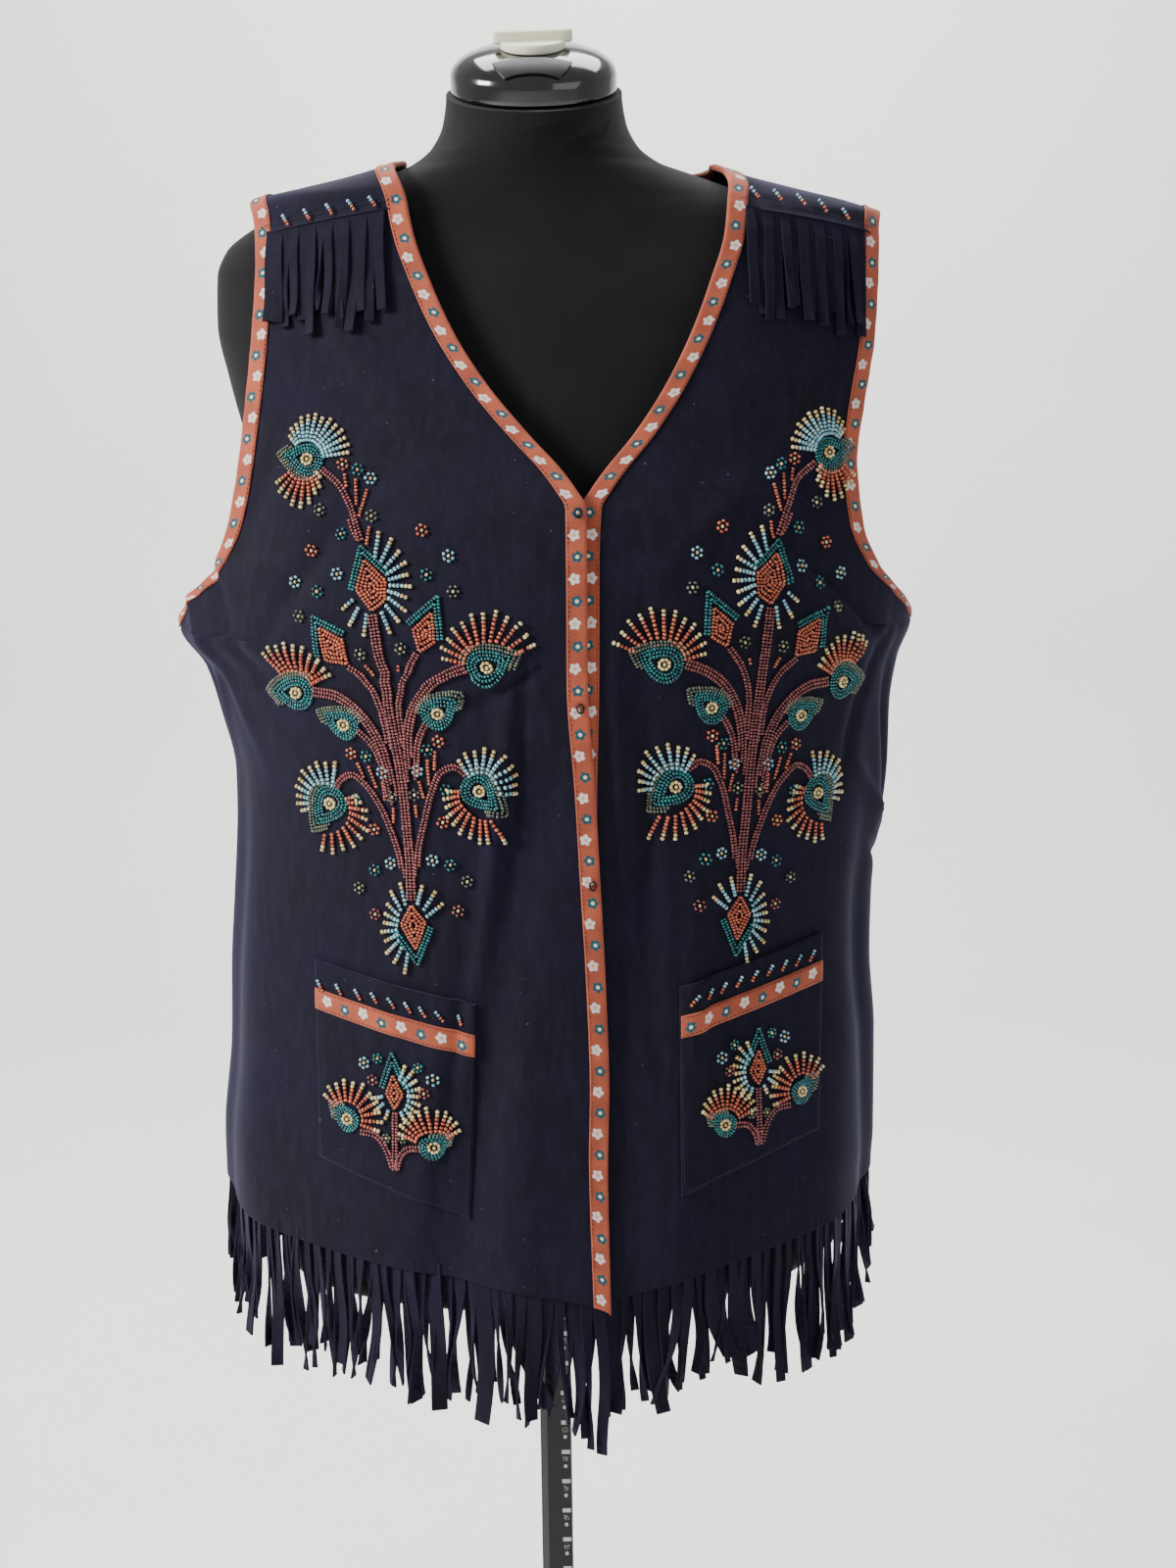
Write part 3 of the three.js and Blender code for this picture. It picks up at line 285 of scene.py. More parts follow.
# quads of a grid of points, joined round where it is closed
def gridFaces(rows, columns, closedRows=False, closedColumns=False, start=0):
    r = np.arange(rows if closedRows else rows - 1)
    c = np.arange(columns if closedColumns else columns - 1)
    r, c = np.meshgrid(r, c, indexing="ij")
    nextR, nextC = (r + 1) % rows, (c + 1) % columns
    quads = np.stack([r * columns + c, r * columns + nextC, nextR * columns + nextC, nextR * columns + c], -1)
    return quads.reshape(-1, 4) + start


# one mesh object from points in mm and quads, with an optional uv in metres for each point
def makePiece(name, points, quads, material, uv=None, smooth=True):
    points = np.asarray(points, float).reshape(-1, 3) * mm
    quads = np.asarray(quads)
    mesh = bpy.data.meshes.new(name)
    mesh.vertices.add(len(points))
    mesh.vertices.foreach_set("co", points.ravel())
    size = quads.shape[1]
    mesh.loops.add(quads.size)
    mesh.loops.foreach_set("vertex_index", quads.ravel().astype(np.int32))
    mesh.polygons.add(len(quads))
    mesh.polygons.foreach_set("loop_start", np.arange(0, quads.size, size, dtype=np.int32))
    mesh.polygons.foreach_set("use_smooth", np.full(len(quads), smooth))
    if uv is not None:
        layer = mesh.uv_layers.new(name="cut")
        layer.data.foreach_set("uv", (np.asarray(uv, float).reshape(-1, 2)[quads.ravel()]).ravel())
    mesh.update(calc_edges=True)
    mesh.validate()
    mesh.materials.append(material)
    piece = bpy.data.objects.new(name, mesh)
    bpy.context.scene.collection.objects.link(piece)
    return piece


# cloth over a grid: two layers a thickness apart along the normals, joined round the rim
def clothWall(grid, normals, inside, outside):
    rows, columns = grid.shape[:2]
    outer, inner = grid + normals * outside, grid + normals * inside
    count = rows * columns
    top = gridFaces(rows, columns)
    bottom = gridFaces(rows, columns, start=count)[:, ::-1]
    index = np.arange(count).reshape(rows, columns)
    rim = np.concatenate([index[0], index[1:, -1], index[-1, -2::-1], index[-2:0:-1, 0]])
    after = np.roll(rim, -1)
    side = np.stack([rim + count, after + count, after, rim], -1)
    points = np.concatenate([outer.reshape(-1, 3), inner.reshape(-1, 3)])
    return points, np.concatenate([top, bottom, side])


# running length along a grid's rows and columns, as uv in metres from the middle column
def lengthUv(grid):
    steps = np.linalg.norm(np.diff(grid, axis=1), axis=-1)
    across = np.concatenate([np.zeros((len(grid), 1)), np.cumsum(steps, axis=1)], axis=1)
    across = across - across.mean(axis=1, keepdims=True)
    rises = np.linalg.norm(np.diff(grid, axis=0), axis=-1)
    up = np.concatenate([np.zeros((1, grid.shape[1])), np.cumsum(rises, axis=0)], axis=0)
    return np.stack([across, up], -1) * mm


# the area of a grid in square metres, from its quads' cross products
def gridArea(grid):
    diagonalA = grid[1:, 1:] - grid[:-1, :-1]
    diagonalB = grid[1:, :-1] - grid[:-1, 1:]
    return float(np.linalg.norm(np.cross(diagonalA, diagonalB), axis=-1).sum() / 2) * mm * mm


# how cloth was cut: its area and a rectangle a little larger than it
def cutSize(grid):
    steps = np.linalg.norm(np.diff(grid, axis=1), axis=-1).sum(axis=1).max() * mm
    rises = np.linalg.norm(np.diff(grid, axis=0), axis=-1).sum(axis=0).max() * mm
    smallest = 0.0101
    return {"flat": (max(steps, smallest), max(rises, smallest)), "area": gridArea(grid)}


# a shader socket that can be added, multiplied and compared like a number
class Signal:
    def __init__(self, shader, socket):
        self.shader, self.socket = shader, socket

    def math(self, kind, *others, clamp=False):
        values = dict(enumerate((self, *others)))
        return self.shader.node("ShaderNodeMath", {"operation": kind, "use_clamp": clamp}, values)

    def __add__(self, other):
        return self.math("ADD", other)

    def __sub__(self, other):
        return self.math("SUBTRACT", other)

    def __rsub__(self, other):
        return self.shader.node("ShaderNodeMath", {"operation": "SUBTRACT"}, {0: other, 1: self})

    def __mul__(self, other):
        return self.math("MULTIPLY", other)

    def __truediv__(self, other):
        return self.math("DIVIDE", other)

    def __rtruediv__(self, other):
        return self.shader.node("ShaderNodeMath", {"operation": "DIVIDE"}, {0: other, 1: self})

    __radd__, __rmul__ = __add__, __mul__

    # 0 below low, 1 above high, smooth between
    def ramp(self, low, high):
        values = {"Value": self, "From Min": low, "From Max": high}
        return self.shader.node(
            "ShaderNodeMapRange", {"interpolation_type": "SMOOTHSTEP", "clamp": True}, values, "Result"
        )


# a material under construction: its node tree, the shader and shorthands for common nodes
class Shader:
    def __init__(self, name, **constants):
        self.material = bpy.data.materials.new(name)
        self.material.use_nodes = True
        self.tree = self.material.node_tree
        self.bsdf = self.tree.nodes["Principled BSDF"]
        for socket, value in constants.items():
            self.bsdf.inputs[socket.replace("_", " ")].default_value = value

    # any node: its type, settings, and values or links by socket name or number
    def node(self, kind, settings=None, values=None, output=0):
        made = self.tree.nodes.new(kind)
        for key, value in (settings or {}).items():
            setattr(made, key, value)
        for key, value in (values or {}).items():
            self.put(made.inputs[key], value)
        return Signal(self, made.outputs[output])

    def put(self, socket, value):
        if isinstance(value, Signal):
            self.tree.links.new(value.socket, socket)
        elif isinstance(value, tuple) and len(value) == 3 and socket.type == "RGBA":
            socket.default_value = (*value, 1)
        else:
            socket.default_value = value

    def set(self, name, value):
        self.put(self.bsdf.inputs[name], value)

    def place(self, scale=1.0):
        here = self.node("ShaderNodeTexCoord", output="Object")
        return self.vector("SCALE", here, scale=scale)

    def cut(self):
        return self.node("ShaderNodeUVMap", {"uv_map": "cut"})

    def vector(self, kind, first, second=None, scale=None):
        values = {0: first}
        if second is not None:
            values[1] = second
        if scale is not None:
            values["Scale"] = scale
        return self.node("ShaderNodeVectorMath", {"operation": kind}, values)

    def parts(self, vector):
        split = self.node("ShaderNodeSeparateXYZ", values={0: vector})
        return [split] + [Signal(self, split.socket.node.outputs[i]) for i in (1, 2)]

    def noise(self, vector, scale, detail=3.0, rough=0.5):
        values = {"Vector": vector, "Scale": scale, "Detail": detail, "Roughness": rough}
        return self.node("ShaderNodeTexNoise", values=values)

    def mix(self, share, first, second):
        made = self.tree.nodes.new("ShaderNodeMix")
        made.data_type = "RGBA"
        self.put(made.inputs["Factor"], share)
        colours = [socket for socket in made.inputs if socket.type == "RGBA"]
        self.put(colours[0], first)
        self.put(colours[1], second)
        return Signal(self, next(socket for socket in made.outputs if socket.type == "RGBA"))

    def bump(self, height, distance, strength=1.0):
        values = {"Height": height, "Distance": distance, "Strength": strength}
        self.set("Normal", self.node("ShaderNodeBump", values=values))


# a colour given as 0 to 255 steps of the usual screen scale, made linear
def colour(red, green, blue):
    steps = np.array([red, green, blue]) / 255
    linear = np.where(steps <= 0.04045, steps / 12.92, ((steps + 0.055) / 1.055) ** 2.4)
    return tuple(float(s) for s in linear)


# brushed faux suede: soft clouds of nap, a fine grain and a few lint specks
def suedeMaterial():
    s = Shader("suede", Specular_IOR_Level=0.14, Sheen_Weight=0.34, Sheen_Roughness=0.4)
    s.bsdf.inputs["Sheen Tint"].default_value = (*colour(116, 112, 150), 1)
    here = s.place()
    cloud = s.noise(here, 16, 4, 0.6).ramp(0.3, 0.72)
    stroke = s.noise(s.vector("MULTIPLY", here, (1.0, 1.0, 0.25)), 190, 3, 0.62)
    grain = s.noise(here, 1500, 2, 0.5)
    shade = s.mix(cloud, colour(11, 9, 20), colour(20, 17, 34))
    shade = s.mix(stroke.ramp(0.35, 0.75) * 0.3, shade, colour(33, 30, 50))
    lint = s.noise(here, 420, 1, 0.4).ramp(0.79, 0.83)
    s.set("Base Color", s.mix(lint * 0.35, shade, colour(120, 118, 140)))
    s.set("Roughness", 0.78 + cloud * 0.14)
    s.bump(stroke * 0.6 + grain * 0.4, 0.00022, 0.55)
    return s.material


# printed cotton: small five-petalled flowers in two colours along the strip
def bindingMaterial():
    s = Shader("binding", Specular_IOR_Level=0.2, Sheen_Weight=0.15, Sheen_Roughness=0.5)
    along, across, _ = s.parts(s.cut())
    pitch = 0.0135
    cell = (along / pitch).math("FLOOR")
    drift = s.node("ShaderNodeTexWhiteNoise", {"noise_dimensions": "1D"}, {"W": cell})
    turn = s.node("ShaderNodeTexWhiteNoise", {"noise_dimensions": "1D"}, {"W": cell + 77.7})
    side = cell.math("MODULO", 2).math("ABSOLUTE")
    local = along - (cell + 0.5) * pitch
    beside = across - (side - 0.5) * 0.0018 - (drift - 0.5) * 0.0012
    angle = beside.math("ARCTAN2", local) + turn * 6.28
    reach = (local * local + beside * beside).math("SQRT")
    petals = (angle * 2.5).math("COSINE").math("ABSOLUTE")
    edge = 0.0026 + petals * 0.00125
    grain = s.noise(s.cut(), 3200, 2, 0.6)
    inside = 1 - (reach / edge + (grain - 0.5) * 0.22).ramp(0.88, 1.04)
    heart = 1 - reach.ramp(0.0010, 0.0014)
    vein = (1 - ((angle * 5).math("COSINE").math("ABSOLUTE")).ramp(0.0, 0.35)) * reach.ramp(0.0011, 0.0017)
    veined = s.mix(vein * 0.6, colour(206, 202, 200), colour(150, 118, 116))
    white = s.mix(heart, veined, colour(206, 150, 112))
    teal = s.mix(heart, s.mix(vein * 0.5, colour(22, 76, 88), colour(14, 48, 58)), colour(226, 206, 170))
    flower = s.mix(side, white, teal)
    fade = s.noise(s.place(), 55, 3, 0.55).ramp(0.3, 0.75)
    ground = s.mix(fade, colour(140, 64, 44), colour(168, 82, 56))
    ground = s.mix(grain.ramp(0.45, 0.75) * 0.35, ground, colour(188, 108, 78))
    s.set("Base Color", s.mix(inside, ground, flower))
    s.set("Roughness", 0.74 + fade * 0.12)
    weaveU = (along * 6283 / 0.55).math("SINE")
    weaveV = (across * 6283 / 0.55).math("SINE")
    s.bump(weaveU * weaveV * 0.5 + grain * 0.4, 0.00009, 0.7)
    return s.material


# glass seed beads in one colour, with a little change from bead to bead
def beadMaterial(name, base, second, rough=0.2):
    s = Shader(name, Specular_IOR_Level=0.55, Coat_Weight=0.35, Coat_Roughness=0.12)
    each = s.node("ShaderNodeAttribute", {"attribute_name": "beadTone"}, output="Fac")
    swirl = s.noise(s.place(), 900, 2, 0.5)
    s.set("Base Color", s.mix((each * 0.8 + swirl * 0.35).ramp(0.1, 1.05), base, second))
    s.set("Roughness", rough + swirl * 0.16)
    s.bump(swirl, 0.00005, 0.4)
    return s.material


# knitted jersey: columns of tiny chevron stitches and soft fuzz
def jerseyMaterial():
    s = Shader("jersey", Specular_IOR_Level=0.1, Sheen_Weight=0.1, Sheen_Roughness=0.5)
    along, across, _ = s.parts(s.cut())
    wale = (along * 6283 / 0.9).math("SINE")
    course = ((across + (wale * 0.00022)) * 6283 / 0.75).math("SINE")
    fuzz = s.noise(s.place(), 700, 3, 0.6)
    cloud = s.noise(s.place(), 14, 3, 0.5).ramp(0.3, 0.7)
    shade = s.mix(cloud, colour(12, 12, 14), colour(19, 19, 21))
    s.set("Base Color", s.mix((wale * course).ramp(0.1, 1.0) * 0.35, shade, colour(38, 38, 41)))
    s.set("Roughness", 0.82 + fuzz * 0.12)
    s.bump(wale * 0.4 + course * 0.35 + fuzz * 0.25, 0.00012, 0.6)
    return s.material


# moulded or painted hard parts: a faint orange-peel, smudges and rubbed spots
def hardMaterial(name, base, worn, rough, metal=0.0, smudge=0.18, peel=0.00005, coat=0.0):
    s = Shader(name, Metallic=metal, Coat_Weight=coat, Coat_Roughness=0.06)
    smear = s.noise(s.place(), 26, 4, 0.6).ramp(0.35, 0.8)
    fine = s.noise(s.place(), 480, 3, 0.6)
    s.set("Base Color", s.mix(smear * 0.6 + fine * 0.2, base, worn))
    s.set("Roughness", rough + smear * smudge + fine * 0.05)
    s.bump(fine * 0.6 + smear * 0.4, peel, 0.5)
    return s.material


suedeCloth = suedeMaterial()
printedCotton = bindingMaterial()
jersey = jerseyMaterial()
glossBlack = hardMaterial("glossBlack", colour(9, 9, 10), colour(17, 17, 19), 0.07, smudge=0.14, coat=0.6)
satinBlack = hardMaterial("satinBlack", colour(15, 15, 16), colour(26, 26, 28), 0.34)
creamDial = hardMaterial("creamDial", colour(232, 232, 205), colour(208, 207, 178), 0.36, smudge=0.12)
poleBlack = hardMaterial("poleBlack", colour(20, 20, 22), colour(52, 53, 57), 0.36, metal=0.35, smudge=0.2)
blackWire = hardMaterial("blackWire", colour(14, 14, 16), colour(40, 40, 44), 0.3, metal=0.7)
navyThread = hardMaterial("navyThread", colour(9, 8, 17), colour(24, 22, 40), 0.75, peel=0.00003)
brownThread = hardMaterial("brownThread", colour(64, 24, 20), colour(96, 40, 30), 0.7, peel=0.00003)
beadColours = {
    "teal": beadMaterial("tealBeads", colour(0, 60, 68), colour(8, 114, 114)),
    "olive": beadMaterial("oliveBeads", colour(48, 58, 50), colour(96, 104, 84), 0.26),
    "cream": beadMaterial("creamBeads", colour(186, 160, 100), colour(228, 210, 156), 0.28),
    "sky": beadMaterial("skyBeads", colour(104, 156, 172), colour(164, 204, 208)),
    "rust": beadMaterial("rustBeads", colour(150, 68, 46), colour(200, 104, 70)),
    "wine": beadMaterial("wineBeads", colour(92, 40, 44), colour(142, 72, 70), 0.24),
}
print("materials made")


softFlats = []


# a sheet piece over a grid, with its cut uv from the same grid
def clothPiece(name, grid, material, flip=False, normals=None):
    normals = gridNormals(grid, flip) if normals is None else normals
    points, quads = clothWall(grid, normals, -suede / 2, suede / 2)
    uv = lengthUv(grid).reshape(-1, 2)
    if flip:
        quads = quads[:, ::-1]
    return makePiece(name, points, quads, material, np.concatenate([uv, uv]))


def declare(piece, grid):
    size, margin = cutSize(grid), 1.01
    flat = tuple(side * margin for side in size["flat"])
    min(size["area"], flat[0] * flat[1])
    softFlats.append((piece.name, flat, size["area"]))


# shares of a row whose first and last steps are finer
def easedShares(count):
    t = np.linspace(0, 1, count)
    return t - 0.5 / (2 * math.pi) * np.sin(2 * math.pi * t)


sides = ("right", "left")
frontColumns, frontBodyRows, yokeRows = 84, 170, 30
fronts, frontGrids = {}, {}
yokeGap = 0.0006
for side in sides:
    flip = side == "right"
    share = easedShares(frontColumns)[None, :]
    v = np.linspace(0, seamV - yokeGap, frontBodyRows)[:, None]
    grid = frontSheet(side, share, v)
    frontGrids[side] = grid
    fronts[side] = clothPiece(f"front_{side}", grid, suedeCloth, flip=flip)

    # the yoke: its lower edge lies over the fringe's root and settles down towards the seam
    v = seamV + yokeGap + (1 - seamV - yokeGap) * np.linspace(0, 1, yokeRows)[:, None] ** 1.3
    grid = frontSheet(side, share, v)
    normals = gridNormals(grid, flip)
    run = np.linspace(0, 1, yokeRows)[:, None]
    inFromSides = np.clip(np.minimum(share, 1 - share) / 0.2, 0, 1)
    lift = 2.6 * np.clip(1 - run / 0.3, 0, 1) ** 2 * inFromSides ** 2 * (3 - 2 * inFromSides)
    grid = grid + normals * lift[..., None]
    fronts[f"yoke_{side}"] = clothPiece(f"yoke_{side}", grid, suedeCloth, flip=flip, normals=normals)
    frontGrids[f"yoke_{side}"] = grid

backColumns, backRows = 150, 150
backGrid = backSheet(np.linspace(0, 1, backColumns)[None, :], np.linspace(0, 1, backRows)[:, None])
backPiece = clothPiece("back", backGrid, suedeCloth, flip=True)
print("panels made")

# a binding's section, as depth in from the cloth's edge and height over its middle, in mm: a folded
# strip of 12.7 mm with rounded lip and turned-in edges
bindingSection = [
    (-0.3, 1.1), (4.0, 1.12), (8.0, 1.14), (11.3, 1.12), (11.7, 1.22), (11.85, 1.5), (11.6, 1.82),
    (10.8, 1.92), (9.0, 1.86), (6.0, 1.84), (3.0, 1.86), (1.2, 1.88), (0.2, 1.82), (-0.5, 1.5),
    (-0.92, 0.8), (-1.0, 0.0),
    (-0.92, -0.8), (-0.5, -1.5), (0.2, -1.82), (3.0, -1.84), (7.0, -1.84), (10.8, -1.86), (11.6, -1.8),
    (11.8, -1.5), (11.7, -1.2), (7.0, -1.12), (3.0, -1.12), (-0.3, -1.1),
]
bindingOuter = slice(4, 15)  # the part of the section that shows from outside
seams = {"brown": [], "navy": []}  # lines of stitches: points and normals, sewn at the end


# a strip carried along a cloth's edge: place(depth) gives the surface at a depth in from the edge, and
# each ring is the section laid on it, a little drawn in at the stitches
def bindingPiece(name, place, outward, closed=False):
    section, wave = np.array(bindingSection), 0.10
    edge = place(0.0)
    inner = place(6.0)
    steps = np.linalg.norm(np.diff(edge, axis=0, append=edge[:1]), axis=-1)
    length = np.concatenate([[0], np.cumsum(steps[:-1])])
    normals = edgeNormals(edge, inner, outward, closed)
    inward = inner - edge
    inward = inward / np.linalg.norm(inward, axis=-1, keepdims=True)
    rings = []
    for depth, height in section:
        base = place(depth) if depth > 0 else edge + inward * depth
        soft = 1 + wave * np.sin(length * 2 * math.pi / 23 + depth * 0.2) * (abs(height) > 1.3)
        rings.append(base + normals * (height * soft)[:, None])
    grid = np.stack(rings, axis=1)
    around = np.concatenate([[0], np.cumsum(np.hypot(*np.diff(section, axis=0).T))])
    middle = around[[i for i, s in enumerate(bindingSection) if s == (6.0, 1.84)][0]]
    uv = np.stack(np.broadcast_arrays(length[:, None], (around - middle)[None, :]), -1) * mm
    rows, columns = grid.shape[:2]
    quads = gridFaces(rows, columns, closedRows=closed, closedColumns=True)
    points = grid.reshape(-1, 3)
    if not closed:
        index = np.arange(columns)
        half = columns // 2
        caps = [np.stack([index[i], index[i + 1], index[-2 - i], index[-1 - i]]) for i in range(half - 1)]
        caps = np.array(caps)
        quads = np.concatenate([quads, caps, caps[:, ::-1] + (rows - 1) * columns])
    piece = makePiece(name, points, quads, printedCotton, uv.reshape(-1, 2))
    turnOut(piece)
    seams["brown"].append((place(10.7) + normals * 1.98, normals))
    return piece, grid[:, bindingOuter]


# unit normals at an edge: square to the edge and to the way in, on the outward side, smoothed
def edgeNormals(edge, inner, outward, closed=False):
    if closed:
        along = np.roll(edge, -1, axis=0) - np.roll(edge, 1, axis=0)
    else:
        along = np.gradient(edge, axis=0)
    normal = np.cross(along, inner - edge)
    normal = normal / np.maximum(np.linalg.norm(normal, axis=-1, keepdims=True), 1e-9)
    turned = np.sign((normal * outward(edge)).sum(axis=-1, keepdims=True))
    normal = normal * np.where(turned == 0, 1, turned)
    for _ in range(3):
        padded = np.concatenate([normal[-1:], normal, normal[:1]]) if closed else np.concatenate(
            [normal[:1], normal, normal[-1:]])
        normal = padded[:-2] + 2 * padded[1:-1] + padded[2:]
        normal = normal / np.linalg.norm(normal, axis=-1, keepdims=True)
    return normal


# ways out from the form's axis, and upwards over the shoulders
def awayFromAxis(points):
    out = points.copy()
    out[:, 2] = np.maximum(0, points[:, 2] - 1330) * 2
    return out


# faces turned outwards where the mesh's signed volume is negative
def turnOut(piece):
    mesh = piece.data
    count = len(mesh.loop_triangles) or mesh.calc_loop_triangles() or len(mesh.loop_triangles)
    co = np.empty(len(mesh.vertices) * 3)
    mesh.vertices.foreach_get("co", co)
    tri = np.empty(count * 3, dtype=np.int32)
    mesh.loop_triangles.foreach_get("vertices", tri)
    corners = co.reshape(-1, 3)[tri.reshape(-1, 3)]
    volume = (corners[:, 0] * np.cross(corners[:, 1], corners[:, 2])).sum()
    if volume < 0:
        mesh.flip_normals()
    return piece


# shares at which the rows of a sheet are given depths in mm from their first or last edge
def edgeShares(sheet, v, fromEnd=False):
    shares = np.linspace(0, 0.3, 40)
    shares = 1 - shares if fromEnd else shares
    row = sheet(shares[None, :], v[:, None])
    steps = np.linalg.norm(np.diff(row, axis=1), axis=-1)
    depths = np.concatenate([np.zeros((len(v), 1)), np.cumsum(steps, axis=1)], axis=1)
    return lambda depth: np.array([np.interp(depth, row, shares) for row in depths])


bindings, bindingGrids = {}, {}
for side in sides:
    v = np.concatenate([np.linspace(0, seamV, 230), np.linspace(seamV, 1, 60)[1:]])
    shareAt = edgeShares(lambda s, at: frontSheet(side, s, at), v)
    piece, grid = bindingPiece(
        f"edge_binding_{side}", lambda depth: frontSheet(side, shareAt(depth), v), awayFromAxis)
    bindings[f"front_{side}"], bindingGrids[f"front_{side}"] = piece, grid

    frontV = np.concatenate([np.linspace(0.52, seamV, 120), np.linspace(seamV, 1, 40)[1:]])
    frontAt = edgeShares(lambda s, at: frontSheet(side, s, at), frontV, fromEnd=True)
    upperBack = np.concatenate([np.linspace(0.548, 0.84, 90), np.linspace(0.84, 1, 50)[1:]])
    backAt = edgeShares(backSheet, upperBack, fromEnd=side == "left")

    def armhole(depth, side=side, frontV=frontV, frontAt=frontAt, backV=upperBack, backAt=backAt):
        ahead = frontSheet(side, frontAt(depth), frontV)
        behind = backSheet(backAt(depth), backV)[::-1]
        return np.concatenate([ahead, behind[1:]])

    piece, grid = bindingPiece(f"armhole_strip_{side}", armhole, awayFromAxis, closed=True)
    bindings[f"armhole_{side}"], bindingGrids[f"armhole_{side}"] = piece, grid

start = backTable["shoulder"]
neckShares = np.linspace(start + 0.004, 1 - start - 0.004, 120)


# the back's surface at a depth below its neck edge, measured along the cloth
def backNeck(depth):
    heights = backSheet(neckShares[None, :], np.linspace(0.84, 1, 40)[:, None])
    rises = np.linalg.norm(np.diff(heights, axis=0), axis=-1)
    down = np.cumsum(rises[::-1], axis=0)[::-1]
    down = np.concatenate([down, np.zeros((1, len(neckShares)))])
    v = np.array([np.interp(-depth, -down[:, i], np.linspace(0.84, 1, 40)) for i in range(len(neckShares))])
    return backSheet(neckShares, v)


piece, grid = bindingPiece("neck_strip_back", backNeck, awayFromAxis)
bindings["neck"], bindingGrids["neck"] = piece, grid
print("bindings made")

# patch pockets: corners as x and z in mm, and the band's place down them
pockets = {
    "right": {"topInner": (-43, 858.5), "topOuter": (-146, 881),
              "bottomInner": (-50, 720), "bottomOuter": (-146, 753)},
    "left": {"topInner": (83.5, 867), "topOuter": (177, 890),
             "bottomInner": (83, 733), "bottomOuter": (173, 761)},
}
bandSpan = {"top": 0.14, "bottom": 0.245}
pocketSeat, pocketThickness, bandThickness = 1.6, 1.5, 0.8


# a place on a pocket: s from its outer to its inner side, t from its top down, blended from its corners
def pocketPlace(side, s, t):
    corners = {name: np.array(value, float) for name, value in pockets[side].items()}
    s, t = np.broadcast_arrays(np.asarray(s, float)[..., None], np.asarray(t, float)[..., None])
    top = corners["topOuter"] + (corners["topInner"] - corners["topOuter"]) * s
    bottom = corners["bottomOuter"] + (corners["bottomInner"] - corners["bottomOuter"]) * s
    return top + (bottom - top) * t


# a patch on a front: the surface at each place, moved out; its edges are pressed down
def patch(side, s, t, off, press=0.0, mouth=0.0):
    place = pocketPlace(side, s, t)
    grid = frontPoint(side, place[..., 0], place[..., 1])
    normals = frontNormal(side, place[..., 0], place[..., 1])
    s, t = np.broadcast_arrays(s, t)
    rim = np.minimum(np.minimum(s, 1 - s) * 100, (1 - t) * 130)
    lift = off - press * np.exp(-rim / 1.6) + mouth * np.exp(-t * 26) * np.sin(np.pi * s) ** 1.5
    return grid + normals * lift[..., None], normals


pocketGrids, pocketPieces, bandPieces = {}, {}, {}
for side in sides:
    flip = side == "right"
    s, t = easedShares(70)[None, :], np.linspace(0, 1, 76)[:, None] ** 0.9
    middle = pocketSeat + pocketThickness / 2
    grid, normals = patch(side, s, t, middle, press=0.5, mouth=0.6)
    pocketGrids[side] = grid
    points, quads = clothWall(grid, normals, -pocketThickness / 2, pocketThickness / 2)
    uv = lengthUv(grid).reshape(-1, 2)
    piece = makePiece(f"patch_pocket_{side}", points, quads, suedeCloth, np.concatenate([uv, uv]))
    pocketPieces[side] = turnOut(piece)
    hem = np.linspace(0.02, 0.98, 160)
    for s, t in [(hem, 0.105 + 0 * hem), (0.018 + 0 * hem, hem), (0.982 + 0 * hem, hem),
                 (hem, 0.984 + 0 * hem)]:
        sewn, normals = patch(side, s, t, pocketSeat + pocketThickness + 0.08, press=0.5, mouth=0.6)
        seams["navy"].append((sewn, normals))

    s = np.linspace(0.006, 0.994, 70)[None, :]
    t = np.linspace(bandSpan["top"], bandSpan["bottom"], 9)[:, None]
    grid, normals = patch(side, s, t, pocketSeat + pocketThickness + 0.4 + bandThickness / 2)
    edge = np.array([-0.32, -0.05, 0.02, 0.0, 0.0, 0.0, 0.02, -0.05, -0.32])[:, None]
    ripple = 0.08 * np.sin(s * 31) * (np.abs(np.linspace(-1, 1, 9))[:, None] > 0.6)
    grid = grid + normals * (edge + ripple)[..., None]
    points, quads = clothWall(grid, normals, -bandThickness / 2 + 0.1, bandThickness / 2)
    uv = lengthUv(grid)
    uv[..., 1] = uv[..., 1] - uv[..., 1].max() / 2
    uv = uv.reshape(-1, 2)
    piece = makePiece(f"print_band_{side}", points, quads, printedCotton, np.concatenate([uv, uv]))
    bandPieces[side] = turnOut(piece)
    hem = np.linspace(0.012, 0.988, 160)
    for at in (0.1, 0.9):
        t = bandSpan["top"] + (bandSpan["bottom"] - bandSpan["top"]) * at + 0 * hem
        sewn, normals = patch(side, hem, t, pocketSeat + pocketThickness + 0.4 + bandThickness + 0.02)
        seams["brown"].append((sewn, normals))
    pocketGrids[f"band_{side}"] = grid
print("pockets made")


